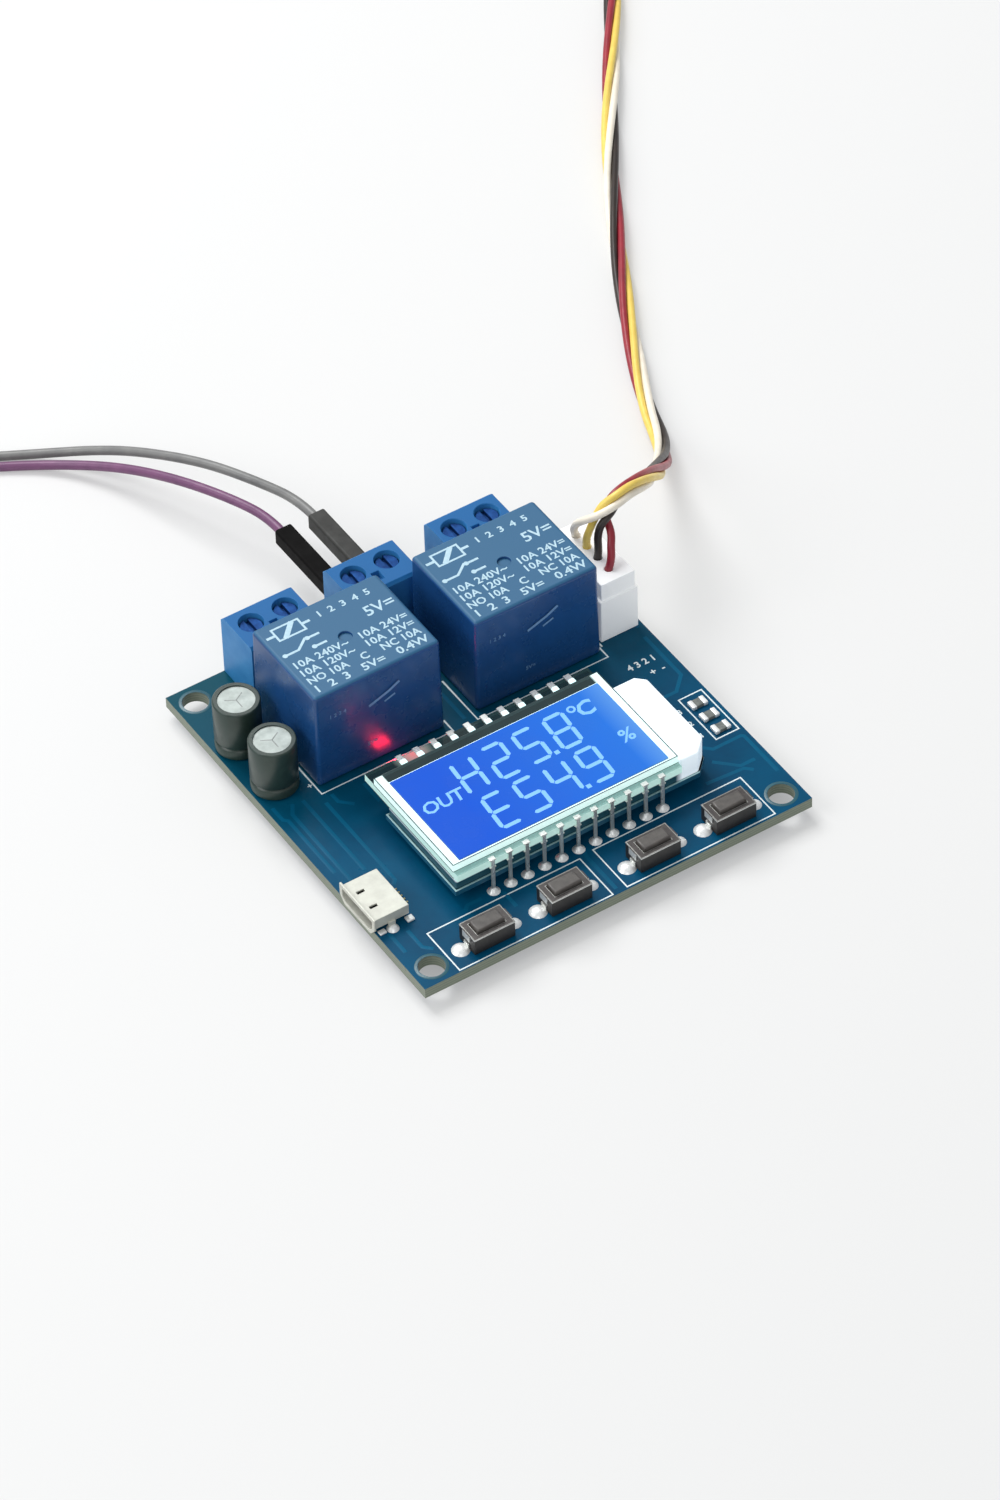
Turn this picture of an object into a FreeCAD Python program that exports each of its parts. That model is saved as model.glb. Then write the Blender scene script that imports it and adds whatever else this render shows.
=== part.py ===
"""Relay module that switches by temperature and humidity, as a parametric document.

Millimetres. The origin is the centre of the four mounting holes, on the underside of the
circuit board: +X runs right along the front edge, +Y towards the terminals, +Z up.
"""
import FreeCAD, Part
import math
import os
import re

import Sketcher

doc = FreeCAD.newDocument("humidity_module")
sheet = doc.addObject("Spreadsheet::Sheet", "Sizes")

SIZES = {
    # circuit board, standing on the trimmed tails of its pins
    "board_thick": 1.6,
    "hole_inset": 2.8,
    "hole_radius": 1.75,
    "tail_length": 1.6,
    "solder_height": 0.7,
    "solder_side": 0.75,
    "fillet_height": 0.45,
    "pin_gap": 0.12,
    "seat_gap": 0.05,
    # relays
    "relay_length": 19.0,
    "relay_width": 15.4,
    "relay_height": 15.1,
    "relay_lift": 0.3,
    "relay_draft": 0.6,
    "relay_wall": 1.0,
    "relay_round": 0.55,
    "relay_base_thick": 1.2,
    "relay_pin_width": 0.9,
    "relay_pin_common": 7.6,
    "relay_pin_coil": 5.6,
    "relay_pin_contact": 6.6,
    "relay_pin_side": 6.0,
    "relay_gap": 4.9,
    "relay_room_front": 5.7,
    "relay_room_back": 1.8,
    "relay_pin_thick": 0.5,
    "dimple_radius": 0.9,
    "dimple_depth": 0.35,
    # screw terminals, with a rising cage in each pole
    "pole_pitch": 5.08,
    "terminal_depth": 7.6,
    "terminal_chamfer": 0.8,
    "terminal_pitch": 15.4,
    "terminal_shift": 0.15,
    "pole_setback": 0.4,
    "cavity_wall": 1.18,
    "cavity_floor": 1.3,
    "cavity_room": 0.26,
    "cavity_front": 1.2,
    "shoulder_thick": 0.6,
    "well_depth": 2.0,
    "screw_head_radius": 1.55,
    "screw_head_height": 1.3,
    "screw_shaft_radius": 1.0,
    "screw_tip_gap": 0.15,
    "screw_slot_width": 0.5,
    "screw_slot_depth": 0.6,
    "running_gap": 0.1,
    "cage_gap": 0.2,
    "cage_depth": 3.2,
    "cage_wall": 0.5,
    "cage_floor": 0.6,
    "cage_roof": 0.7,
    "cage_lift": 1.24,
    "cage_rise": 0.5,
    "cage_headroom": 0.4,
    "tongue_gap": 0.25,
    "tongue_thick": 0.4,
    "strip_width": 1.2,
    "strip_thick": 0.6,
    "terminal_pin_width": 0.9,
    "notch_width": 1.2,
    "notch_length": 1.6,
    "notch_depth": 0.9,
    # electrolytic capacitors
    "can_radius": 2.95,
    "can_height": 7.7,
    "sleeve_gap": 0.02,
    "sleeve_thick": 0.16,
    "sleeve_lip": 0.5,
    "bead_level": 1.5,
    "bead_depth": 0.3,
    "can_lift": 0.3,
    "can_pin_radius": 0.28,
    "can_pin_pitch": 2.5,
    "can_margin": 0.27,
    "can_gap": 2.34,
    "can_shift": 0.3,
    "can_relay_gap": 1.17,
    # micro USB socket
    "usb_width": 7.5,
    "usb_height": 2.45,
    "usb_length": 5.3,
    "usb_wall": 0.3,
    "usb_flare": 0.3,
    "usb_corner": 0.9,
    "usb_overhang": 0.35,
    "usb_front": 15.0,
    "usb_window": 1.1,
    "usb_window_width": 0.45,
    "usb_leg": 1.0,
    "usb_leg_drop": 0.8,
    "usb_heel_length": 1.2,
    "usb_tongue_width": 4.4,
    "usb_tongue_thick": 0.7,
    # display: light guide in a tray, two panes and a film, on two rows of clip pins
    "pin_pitch": 2.54,
    "display_pin_shift": 1.0,
    "display_room_front": 4.3,
    "display_rows": 21.8,
    "display_pin_width": 0.5,
    "display_solder_side": 0.6,
    "display_pin_thick": 0.3,
    "pane_left": 11.0,
    "pane_width": 33.6,
    "pane_thick": 1.1,
    "pane_level": 4.4,
    "ledge_front": 0.9,
    "ledge_back": 2.2,
    "film_thick": 0.2,
    "film_margin_side": 1.2,
    "film_margin_front": 0.4,
    "film_margin_back": 1.9,
    "finger_width": 0.9,
    "finger_thick": 0.2,
    "guide_inset": 0.3,
    "guide_end": 5.0,
    "guide_room_front": 1.0,
    "guide_room_back": 5.2,
    "guide_thick": 2.45,
    "guide_chamfer": 2.0,
    "guide_back_chamfer": 1.2,
    "guide_block_rise": 1.5,
    "guide_pin_inset": 2.0,
    "guide_pin_side": 0.6,
    "guide_pane_gap": 0.2,
    "tray_thick": 0.25,
    "tray_wall": 0.25,
    "tray_height": 0.8,
    # push buttons
    "switch_length": 6.0,
    "switch_width": 3.6,
    "switch_height": 2.4,
    "switch_front": 3.1,
    "switch_left": 11.2,
    "switch_pair_pitch": 11.45,
    "switch_middle_pitch": 13.3,
    "plunger_length": 4.0,
    "plunger_width": 2.0,
    "plunger_height": 1.9,
    "plunger_proud": 0.6,
    "plunger_round": 0.25,
    "press_room": 0.4,
    "cover_thick": 0.15,
    "tab_width": 1.6,
    "tab_drop": 0.9,
    "leg_reach": 1.3,
    "leg_width": 1.1,
    "leg_thick": 0.15,
    "leg_rise": 0.9,
    "leg_solder_reach": 0.9,
    "leg_solder_side": 0.7,
    "leg_solder_tip": 0.4,
    "leg_solder_height": 0.45,
    # sensor connector
    "header_width": 5.75,
    "header_length": 12.4,
    "header_height": 7.0,
    "header_wall": 0.75,
    "header_floor": 1.6,
    "header_gap": 1.025,
    "header_margin": 0.625,
    "header_pitch": 2.5,
    "header_pin": 0.64,
    "header_pin_reach": 4.0,
    "header_slot_width": 1.3,
    "header_slot_depth": 3.6,
    "header_slot_spread": 3.1,
    "plug_rim": 2.75,
    "plug_inset": 0.3,
    "wire_hole_radius": 0.62,
    "wire_hole_depth": 2.5,
    # sensor at the end of its lead
    "probe_length": 24.0,
    "probe_width": 10.0,
    "probe_height": 4.0,
    "probe_round": 1.4,
    "probe_slot_length": 6.0,
    "probe_slot_width": 1.2,
    "probe_slot_pitch": 2.6,
    "probe_slot_depth": 2.4,
    # plug-in leads
    "housing_side": 2.54,
    "housing_length": 14.0,
    "housing_gap": 0.1,
    "housing_window": 1.1,
    "housing_window_length": 2.2,
    "housing_window_reach": 2.4,
    "housing_edge": 0.25,
    "contact_rest": 0.005,
    "contact_side": 0.64,
    "contact_reach": 5.6,
    "jumper_diameter": 1.3,
    "sensor_lead_diameter": 2.65,
    # surface-mounted parts
    "chip_length": 2.0,
    "chip_width": 1.25,
    "chip_height": 0.5,
    "chip_cap": 0.4,
    "chip_cap_proud": 0.04,
    "chip_pitch": 2.6,
    "side_chips_margin": 2.5,
    "side_chips_front": 16.7,
    "lamp_shift": 1.2,
    "lamp_room": 2.3,
    "lamp_base": 0.35,
    "lamp_lens": 0.45,
    "lamp_lens_length": 1.2,
    "lamp_lens_width": 1.1,
    "controller_width": 4.4,
    "controller_length": 6.5,
    "controller_height": 0.95,
    "controller_pitch": 0.65,
    "controller_leg": 0.25,
    "controller_leg_reach": 0.9,
}

for row, (alias, value) in enumerate(SIZES.items(), start=1):
    sheet.set(f"A{row}", alias)
    sheet.set(f"B{row}", str(value))
    sheet.setAlias(f"B{row}", alias)
doc.recompute()

TOP = "board_thick"
SLEEVE_RADIUS = "(can_radius + sleeve_gap + sleeve_thick)"
CAN_LEFT = f"(can_margin + {SLEEVE_RADIUS})"
RELAY_1_LEFT = f"(can_margin + 2 * {SLEEVE_RADIUS} + can_relay_gap + relay_length / 2)"
RELAY_2_LEFT = f"({RELAY_1_LEFT} + relay_length + relay_gap)"
HEADER_LEFT = f"({RELAY_2_LEFT} + relay_length / 2 + header_gap + header_width / 2)"
BOARD_WIDTH = f"({HEADER_LEFT} + header_width / 2 + header_margin)"
DISPLAY_FRONT = "(switch_front + switch_width / 2 + display_room_front + display_rows / 2)"
RELAY_FRONT = f"({DISPLAY_FRONT} + display_rows / 2 + relay_room_front + relay_width / 2)"
BOARD_DEPTH = f"({RELAY_FRONT} + relay_width / 2 + relay_room_back + terminal_depth)"
HOLE_SIDES = 8
DISPLAY_PINS = 11
HEADER_PINS = 4
CONTROLLER_PINS = 10
PARTS = []


def on_sheet(text):
    """An expression with every size's name looked up on the sheet."""
    return re.sub(r"[a-z][a-z_0-9]*", lambda m: f"Sizes.{m[0]}" if m[0] in SIZES else m[0], str(text))


def bind(item, **properties):
    """Tie properties of an object to expressions; a double underscore stands for a dot."""
    for name, text in properties.items():
        item.setExpression(name.replace("__", "."), on_sheet(text))


def place(item, x="0", y="0", z="0"):
    bind(item, Placement__Base__x=x, Placement__Base__y=y, Placement__Base__z=z)
    return item


def keep(item, label):
    """Mark an object as a sub-part, with the label that names its file."""
    item.Label = label
    PARTS.append(item)
    return item


def from_left(distance):
    return f"({distance} - {BOARD_WIDTH} / 2)"


def from_front(distance):
    return f"({distance} - {BOARD_DEPTH} / 2)"


# Primitives


def block(name, length, width, height, x, y, z):
    """A box centred on x and y that stands on z."""
    item = doc.addObject("Part::Box", name)
    bind(item, Length=length, Width=width, Height=height)
    return place(item, f"({x}) - ({length}) / 2", f"({y}) - ({width}) / 2", z)


def rod(name, radius, height, x, y, z):
    item = doc.addObject("Part::Cylinder", name)
    bind(item, Radius=radius, Height=height)
    return place(item, x, y, z)


def frustum(name, low, high, height, x, y, z):
    """A square block that widens or narrows from one half side to the other as it rises."""
    item = doc.addObject("Part::Wedge", name)
    for axis in ("X", "Z"):
        bind(item, **{f"{axis}min": f"-({low})", f"{axis}max": low, f"{axis}2min": f"-({high})", f"{axis}2max": high})
    item.Ymin = 0
    bind(item, Ymax=height)
    item.Placement.Rotation = FreeCAD.Rotation(FreeCAD.Vector(1, 0, 0), 90)
    return place(item, x, y, z)


def fuse(name, items):
    item = doc.addObject("Part::MultiFuse", name)
    item.Shapes = list(items)
    return item


def cut(name, base, *tools):
    item = doc.addObject("Part::Cut", name)
    item.Base = base
    item.Tool = tools[0] if len(tools) == 1 else fuse(name + "_tools", tools)
    return item


def soldered_pin(name, width, thick, x, y, upper):
    """A flat pin from a height down through the board to its trimmed tail, with its solder."""
    return [
        block(name, width, thick, f"{upper} + tail_length", x, y, "-tail_length"),
        frustum(name + "_solder", f"({thick}) / 2", "solder_side", "solder_height", x, y, "-solder_height"),
    ]


# Sketched bodies


def new_body(name):
    return doc.addObject("PartDesign::Body", name)


def sketch(body, name, role, loops=(), circles=(), level=None):
    """A sketch on an origin plane, with every corner, centre and radius tied to expressions."""
    drawing = body.newObject("Sketcher::SketchObject", name)
    plane = next(item for item in body.Origin.OriginFeatures if item.Role == role)
    drawing.AttachmentSupport = (plane, [""])
    drawing.MapMode = "FlatFace"
    if level is not None:
        bind(drawing, AttachmentOffset__Base__z=level)
    for loop in loops:
        first = drawing.GeometryCount
        count = len(loop)
        turns = [2 * math.pi * i / count for i in range(count)]
        guesses = [FreeCAD.Vector(math.cos(turn), math.sin(turn), 0) for turn in turns]
        for i in range(count):
            drawing.addGeometry(Part.LineSegment(guesses[i], guesses[(i + 1) % count]))
        for i in range(count):
            following = first + (i + 1) % count
            drawing.addConstraint(Sketcher.Constraint("Coincident", first + i, 2, following, 1))
        for i, (x, y) in enumerate(loop):
            tie(drawing, "DistanceX", x, guesses[i].x, -1, 1, first + i, 1)
            tie(drawing, "DistanceY", y, guesses[i].y, -1, 1, first + i, 1)
    for x, y, radius in circles:
        ring = drawing.addGeometry(Part.Circle(FreeCAD.Vector(1, 1, 0), FreeCAD.Vector(0, 0, 1), 1.0))
        tie(drawing, "DistanceX", x, 1.0, -1, 1, ring, 3)
        tie(drawing, "DistanceY", y, 1.0, -1, 1, ring, 3)
        tie(drawing, "Radius", radius, 1.0, ring)
    drawing.Visibility = False
    return drawing


def tie(drawing, kind, text, guess, *where):
    number = drawing.addConstraint(Sketcher.Constraint(kind, *where, guess))
    drawing.setExpression(f"Constraints[{number}]", on_sheet(text))


def rectangle(width, depth, x="0", y="0"):
    left, right = f"({x}) - ({width}) / 2", f"({x}) + ({width}) / 2"
    low, high = f"({y}) - ({depth}) / 2", f"({y}) + ({depth}) / 2"
    return [(left, low), (right, low), (right, high), (left, high)]


def pad(body, drawing, length, symmetric=False, reverse=False, taper=None):
    feature = body.newObject("PartDesign::Pad", drawing.Name + "_pad")
    feature.Profile = drawing
    feature.Midplane = symmetric
    feature.Reversed = reverse
    bind(feature, Length=length)
    if taper is not None:
        bind(feature, TaperAngle=taper)
    body.Tip = feature
    return feature


def pocket(body, drawing, length=None, reverse=False):
    """Cut against the sketch's normal, or along it if reversed; right through without a length."""
    doc.recompute()
    before = body.Shape.Volume
    feature = body.newObject("PartDesign::Pocket", drawing.Name + "_pocket")
    feature.Profile = drawing
    feature.Reversed = reverse
    if length is None:
        feature.Type = 1
    else:
        bind(feature, Length=length)
    body.Tip = feature
    doc.recompute()
    if not body.Shape.Volume < before - 1e-6:
        raise RuntimeError(f"{feature.Name} cuts nothing")
    return feature


def revolve(body, drawing):
    feature = body.newObject("PartDesign::Revolution", drawing.Name + "_turn")
    feature.Profile = drawing
    feature.ReferenceAxis = (drawing, ["V_Axis"])
    feature.Angle = 360.0
    body.Tip = feature
    return feature


def soften(body, name, kind, size, accept):
    """Fillet or chamfer the edges of the body's tip that accept agrees to."""
    doc.recompute()
    base = body.Tip
    chosen = [f"Edge{i}" for i, edge in enumerate(base.Shape.Edges, start=1) if accept(edge)]
    feature = body.newObject(f"PartDesign::{kind}", name)
    feature.Base = (base, chosen)
    bind(feature, **{"Radius" if kind == "Fillet" else "Size": size})
    body.Tip = feature
    return feature


def is_upright(edge):
    first, last = edge.Vertexes[0].Point, edge.Vertexes[-1].Point
    rise = abs(last.z - first.z)
    return rise > 0.5 and math.hypot(last.x - first.x, last.y - first.y) < 0.1 * rise


def lies_at(height):
    return lambda edge: all(abs(vertex.Point.z - height) < 1e-4 for vertex in edge.Vertexes)


# Where the pins go through the board

SIDES = (-1, 1)
RELAYS = {1: RELAY_1_LEFT, 2: RELAY_2_LEFT}
TERMINALS = {name: f"(({RELAY_1_LEFT} + {RELAY_2_LEFT}) / 2 + terminal_shift + {step} * terminal_pitch)"
             for step, name in zip((-1, 0, 1), "abc")}
CANS = {number: f"({RELAY_FRONT} + can_shift + {side} * ({SLEEVE_RADIUS} + can_gap / 2))"
        for number, side in ((1, 1), (2, -1))}
SWITCHES = {
    1: "switch_left",
    2: "(switch_left + switch_pair_pitch)",
    3: "(switch_left + switch_pair_pitch + switch_middle_pitch)",
    4: "(switch_left + 2 * switch_pair_pitch + switch_middle_pitch)",
}

TERMINAL_WIDTH = "(2 * pole_pitch)"
CAVITY_WIDTH = "(pole_pitch - cavity_wall)"
CAGE_WIDTH = f"({CAVITY_WIDTH} - 2 * cage_gap)"
CAGE_BED = "(cavity_floor + running_gap + cage_lift)"
TONGUE_LEVEL = f"({CAGE_BED} + cage_floor + contact_side + 4 * contact_rest)"
CAGE_HEIGHT = "(cage_floor + contact_side + 4 * contact_rest + tongue_thick + cage_lift + cage_headroom + cage_roof)"
CAVITY_TOP = f"({CAGE_BED} + {CAGE_HEIGHT} + cage_rise + cavity_room)"
SHOULDER = f"({CAVITY_TOP} + shoulder_thick)"
TERMINAL_HEIGHT = f"({SHOULDER} + well_depth)"
SCREW_TIP = f"({TONGUE_LEVEL} + tongue_thick + screw_tip_gap)"
TERMINAL_Y = f"({BOARD_DEPTH} / 2 - terminal_depth / 2)"
STRIP_Y = "(cavity_front + running_gap + strip_thick / 2 - terminal_depth / 2)"

PANE_X = from_left("(pane_left + pane_width / 2)")
PANE_DEPTH = "(display_rows - display_pin_thick - 2 * seat_gap)"
DISPLAY_Y = from_front(DISPLAY_FRONT)
GUIDE_RIGHT = from_left("(pane_left + pane_width + guide_end)")
GUIDE_Y = f"({DISPLAY_Y} + (guide_room_front - guide_room_back) / 2)"
GUIDE_DEPTH = "(display_rows - guide_room_front - guide_room_back)"
GUIDE_LEVEL = "(pane_level - guide_pane_gap - guide_thick)"
TRAY_LEVEL = f"({GUIDE_LEVEL} - seat_gap - tray_thick)"
HEADER_X, HEADER_Y = from_left(HEADER_LEFT), from_front(RELAY_FRONT)


def relay_pin_spots():
    y = from_front(RELAY_FRONT)
    for left in RELAYS.values():
        x = from_left(left)
        yield f"{x} - relay_pin_common", y
        for side in SIDES:
            yield f"{x} - relay_pin_coil", f"{y} + {side} * relay_pin_side"
            yield f"{x} + relay_pin_contact", f"{y} + {side} * relay_pin_side"


def pole_spots(name):
    return [f"{from_left(TERMINALS[name])} + {side} * pole_pitch / 2" for side in SIDES]


def can_pin_spots():
    for front in CANS.values():
        for side in SIDES:
            yield f"{from_left(CAN_LEFT)} + {side} * can_pin_pitch / 2", from_front(front)


def display_pin_spots(side):
    y = f"{DISPLAY_Y} + {side} * display_rows / 2"
    middle = (DISPLAY_PINS - 1) / 2
    return [(f"{PANE_X} + display_pin_shift + {i - middle} * pin_pitch", y) for i in range(DISPLAY_PINS)]


def guide_pin_spots():
    x = f"{GUIDE_RIGHT} - guide_pin_inset"
    return [(x, f"{GUIDE_Y} + {side} * pin_pitch") for side in SIDES]


def header_pin_spots(y="0"):
    middle = (HEADER_PINS - 1) / 2
    return [f"{y} + {i - middle} * header_pitch" for i in range(HEADER_PINS)]


def usb_leg_spots():
    x = f"usb_length / 2 - usb_overhang - {BOARD_WIDTH} / 2"
    for side in SIDES:
        yield x, f"{from_front('usb_front')} + {side} * (usb_width + usb_wall) / 2"


def drill(spots, width):
    """Eight-sided holes of a width across their flats, right through the board."""
    for x, y in spots:
        hole = doc.addObject("Part::Prism", "drill")
        hole.Polygon = HOLE_SIDES
        bind(hole, Circumradius=f"({width}) / 2 / cos({180 / HOLE_SIDES})", Height=f"3 * {TOP}")
        yield place(hole, x, y, f"-{TOP}")


def make_board():
    board = new_body("board_body")
    corners = [(f"{sx} * ({BOARD_WIDTH} / 2 - hole_inset)", f"{sy} * ({BOARD_DEPTH} / 2 - hole_inset)", "hole_radius")
               for sx in SIDES for sy in SIDES]
    pad(board, sketch(board, "board_outline", "XY_Plane", [rectangle(BOARD_WIDTH, BOARD_DEPTH)], corners), TOP)
    pole_pins = [(x, f"{TERMINAL_Y} + {STRIP_Y}") for name in TERMINALS for x in pole_spots(name)]
    clip_pins = [spot for side in SIDES for spot in display_pin_spots(side)]
    header_pins = [(HEADER_X, y) for y in header_pin_spots(HEADER_Y)]
    holes = [
        *drill(relay_pin_spots(), "relay_pin_width + 2 * pin_gap"),
        *drill(pole_pins, "terminal_pin_width + 2 * pin_gap"),
        *drill(can_pin_spots(), "2 * can_pin_radius + 2 * pin_gap"),
        *drill(clip_pins, "display_pin_width + 2 * pin_gap"),
        *drill(guide_pin_spots(), "guide_pin_side + 4 * pin_gap"),
        *drill(header_pins, "header_pin + 4 * pin_gap"),
        *drill(usb_leg_spots(), "usb_leg + 2 * pin_gap"),
    ]
    keep(cut("board_drilled", board, *holes), "circuit_board")


def make_relay(number, left):
    x, y = from_left(left), from_front(RELAY_FRONT)
    inner_length, inner_width = "relay_length - 2 * relay_wall", "relay_width - 2 * relay_wall"
    name = f"relay_{number}"
    case = new_body(name + "_case_body")
    outline = sketch(case, name + "_outline", "XY_Plane", [rectangle("relay_length", "relay_width")])
    pad(case, outline, "relay_height", taper="-relay_draft")
    doc.recompute()
    top = lies_at(SIZES["relay_height"])
    soften(case, name + "_edges", "Fillet", "relay_round", lambda edge: is_upright(edge) or top(edge))
    recess = sketch(case, name + "_recess", "XY_Plane", [rectangle(inner_length, inner_width)])
    pocket(case, recess, "relay_base_thick + seat_gap", reverse=True)
    dimple = sketch(case, name + "_dimple", "XY_Plane", circles=[("0", "0", "dimple_radius")], level="relay_height")
    pocket(case, dimple, "dimple_depth")
    place(keep(case, name + "_case"), x, y, f"{TOP} + relay_lift")
    base = block(name + "_base_block", f"{inner_length} - 2 * pin_gap", f"{inner_width} - 2 * pin_gap",
                 "relay_base_thick", x, y, f"{TOP} + relay_lift")
    keep(base, name + "_base")


def make_terminal(name, left):
    x = from_left(left)
    housing = new_body(f"terminal_{name}_body")
    half = "terminal_depth / 2"
    profile = [
        (f"-{half}", "0"), (half, "0"),
        (half, f"{TERMINAL_HEIGHT} - terminal_chamfer"), (f"{half} - terminal_chamfer", TERMINAL_HEIGHT),
        (f"terminal_chamfer / 2 - {half}", TERMINAL_HEIGHT), (f"-{half}", f"{TERMINAL_HEIGHT} - terminal_chamfer / 2"),
    ]
    side = sketch(housing, f"terminal_{name}_side", "YZ_Plane", [profile])
    pad(housing, side, TERMINAL_WIDTH, symmetric=True)
    poles = [f"{side} * pole_pitch / 2" for side in SIDES]
    mouths = [rectangle(CAVITY_WIDTH, f"{CAVITY_TOP} - cavity_floor", pole, f"({CAVITY_TOP} + cavity_floor) / 2")
              for pole in poles]
    mouth = sketch(housing, f"terminal_{name}_mouths", "XZ_Plane", mouths, level=f"-{half}")
    pocket(housing, mouth, "terminal_depth - cavity_front", reverse=True)
    wells = [(pole, "pole_setback", "screw_head_radius + 1.5 * running_gap") for pole in poles]
    well = sketch(housing, f"terminal_{name}_wells", "XY_Plane", circles=wells, level=TERMINAL_HEIGHT)
    pocket(housing, well, "well_depth")
    bores = [(pole, "pole_setback", "screw_shaft_radius + 1.5 * running_gap") for pole in poles]
    bore = sketch(housing, f"terminal_{name}_bores", "XY_Plane", circles=bores, level=SHOULDER)
    pocket(housing, bore, "shoulder_thick")
    slots = [rectangle("strip_width + 2 * running_gap", "strip_thick + 2 * running_gap", pole, STRIP_Y)
             for pole in poles]
    slot = sketch(housing, f"terminal_{name}_slots", "XY_Plane", slots)
    pocket(housing, slot, "cavity_floor", reverse=True)
    notch = sketch(housing, f"terminal_{name}_notch", "XY_Plane",
                   [rectangle("notch_width", "notch_length", "0", "pole_setback - terminal_depth / 4")],
                   level=TERMINAL_HEIGHT)
    pocket(housing, notch, "notch_depth")
    place(keep(housing, f"terminal_{name}_housing"), x, TERMINAL_Y, TOP)
    for number, pole in enumerate(pole_spots(name), start=1):
        make_screw(f"{name}{number}", pole)
        make_cage(f"{name}{number}", pole)


POLE_Y = f"({TERMINAL_Y} + pole_setback)"


def make_screw(name, x):
    """A slotted clamp screw that turns in its well, with its shaft down through the cage."""
    shoulder = f"{TOP} + {SHOULDER} + seat_gap"
    head = rod(f"screw_{name}_head", "screw_head_radius", "screw_head_height", x, POLE_Y, shoulder)
    shaft = rod(f"screw_{name}_shaft", "screw_shaft_radius", f"{SHOULDER} + seat_gap - {SCREW_TIP}",
                x, POLE_Y, f"{TOP} + {SCREW_TIP}")
    slot = block(f"screw_{name}_slot", "screw_slot_width", "2.2 * screw_head_radius", "screw_slot_depth + seat_gap",
                 x, POLE_Y, f"{shoulder} + screw_head_height - screw_slot_depth")
    keep(cut(f"screw_{name}", fuse(f"screw_{name}_solid", (head, shaft)), slot), f"clamp_screw_{name}")


def make_cage(name, x):
    """The square cage that the screw lifts, to pinch a wire up against the fixed tongue."""
    floor = f"{TOP} + {CAGE_BED}"
    outer = block(f"cage_{name}_outer", CAGE_WIDTH, "cage_depth", CAGE_HEIGHT, x, POLE_Y, floor)
    window = block(f"cage_{name}_window", f"{CAGE_WIDTH} - 2 * cage_wall", "2 * cage_depth",
                   f"{CAGE_HEIGHT} - cage_floor - cage_roof", x, POLE_Y, f"{floor} + cage_floor")
    hole = rod(f"cage_{name}_hole", "screw_shaft_radius + running_gap", "2 * cage_roof", x, POLE_Y,
               f"{floor} + {CAGE_HEIGHT} - 1.5 * cage_roof")
    keep(cut(f"cage_{name}", outer, window, hole), f"clamp_cage_{name}")


def make_terminal_contacts():
    """In each pole a tongue through the cage, on a strip that goes down to the pin."""
    pieces = []
    strip_y = f"({TERMINAL_Y} + {STRIP_Y})"
    back = f"({POLE_Y} + cage_depth / 2)"
    front = f"({strip_y} - strip_thick / 2)"
    for name in TERMINALS:
        for number, x in enumerate(pole_spots(name), start=1):
            label = f"contact_{name}{number}"
            pieces.append(block(label + "_tongue", f"{CAGE_WIDTH} - 2 * (cage_wall + tongue_gap)",
                                f"{back} - {front}", "tongue_thick", x, f"({back} + {front}) / 2",
                                f"{TOP} + {TONGUE_LEVEL}"))
            pieces.append(block(label + "_strip", "strip_width", "strip_thick", f"{TONGUE_LEVEL} + tongue_thick", x,
                                strip_y, TOP))
            pieces += soldered_pin(label + "_pin", "terminal_pin_width", "strip_thick", x, strip_y, TOP)
    keep(fuse("terminal_contact_set", pieces), "terminal_contacts")


def make_capacitor(number, front):
    name = f"capacitor_{number}"
    can = new_body(name + "_can_body")
    bead = "bead_depth"
    profile = [
        ("0", "0"), ("can_radius", "0"), ("can_radius", f"bead_level - {bead}"),
        (f"can_radius - {bead}", "bead_level"), ("can_radius", f"bead_level + {bead}"),
        ("can_radius", "can_height"), ("0", "can_height"),
    ]
    revolve(can, sketch(can, name + "_can_half", "XZ_Plane", [profile]))
    place(keep(can, name + "_can"), from_left(CAN_LEFT), from_front(front), f"{TOP} + can_lift")

    sleeve = new_body(name + "_sleeve_body")
    inner, outer = "(can_radius + sleeve_gap)", SLEEVE_RADIUS
    lid = "(can_height + sleeve_gap)"
    profile = [
        (inner, "0"), (outer, "0"), (outer, f"bead_level - {bead}"), (f"{outer} - {bead}", "bead_level"),
        (outer, f"bead_level + {bead}"), (outer, lid), (inner, f"{lid} + sleeve_thick"),
        ("can_radius - sleeve_lip", f"{lid} + sleeve_thick"), ("can_radius - sleeve_lip", lid), (inner, lid),
        (inner, f"bead_level + {bead}"), (f"{inner} - {bead}", "bead_level"), (inner, f"bead_level - {bead}"),
    ]
    revolve(sleeve, sketch(sleeve, name + "_sleeve_half", "XZ_Plane", [profile]))
    place(keep(sleeve, name + "_sleeve"), from_left(CAN_LEFT), from_front(front), f"{TOP} + can_lift")


def usb_profile(grow):
    """The shell's outline seen into its mouth, wide on top and cut off at its lower corners."""
    side, foot = f"(usb_width / 2 + {grow})", f"(usb_width / 2 - usb_corner + {grow} / 2)"
    return [(f"-{side}", f"usb_height + {grow}"), (f"-{side}", "usb_corner"), (f"-{foot}", f"-({grow})"),
            (foot, f"-({grow})"), (side, "usb_corner"), (side, f"usb_height + {grow}")]


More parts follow.
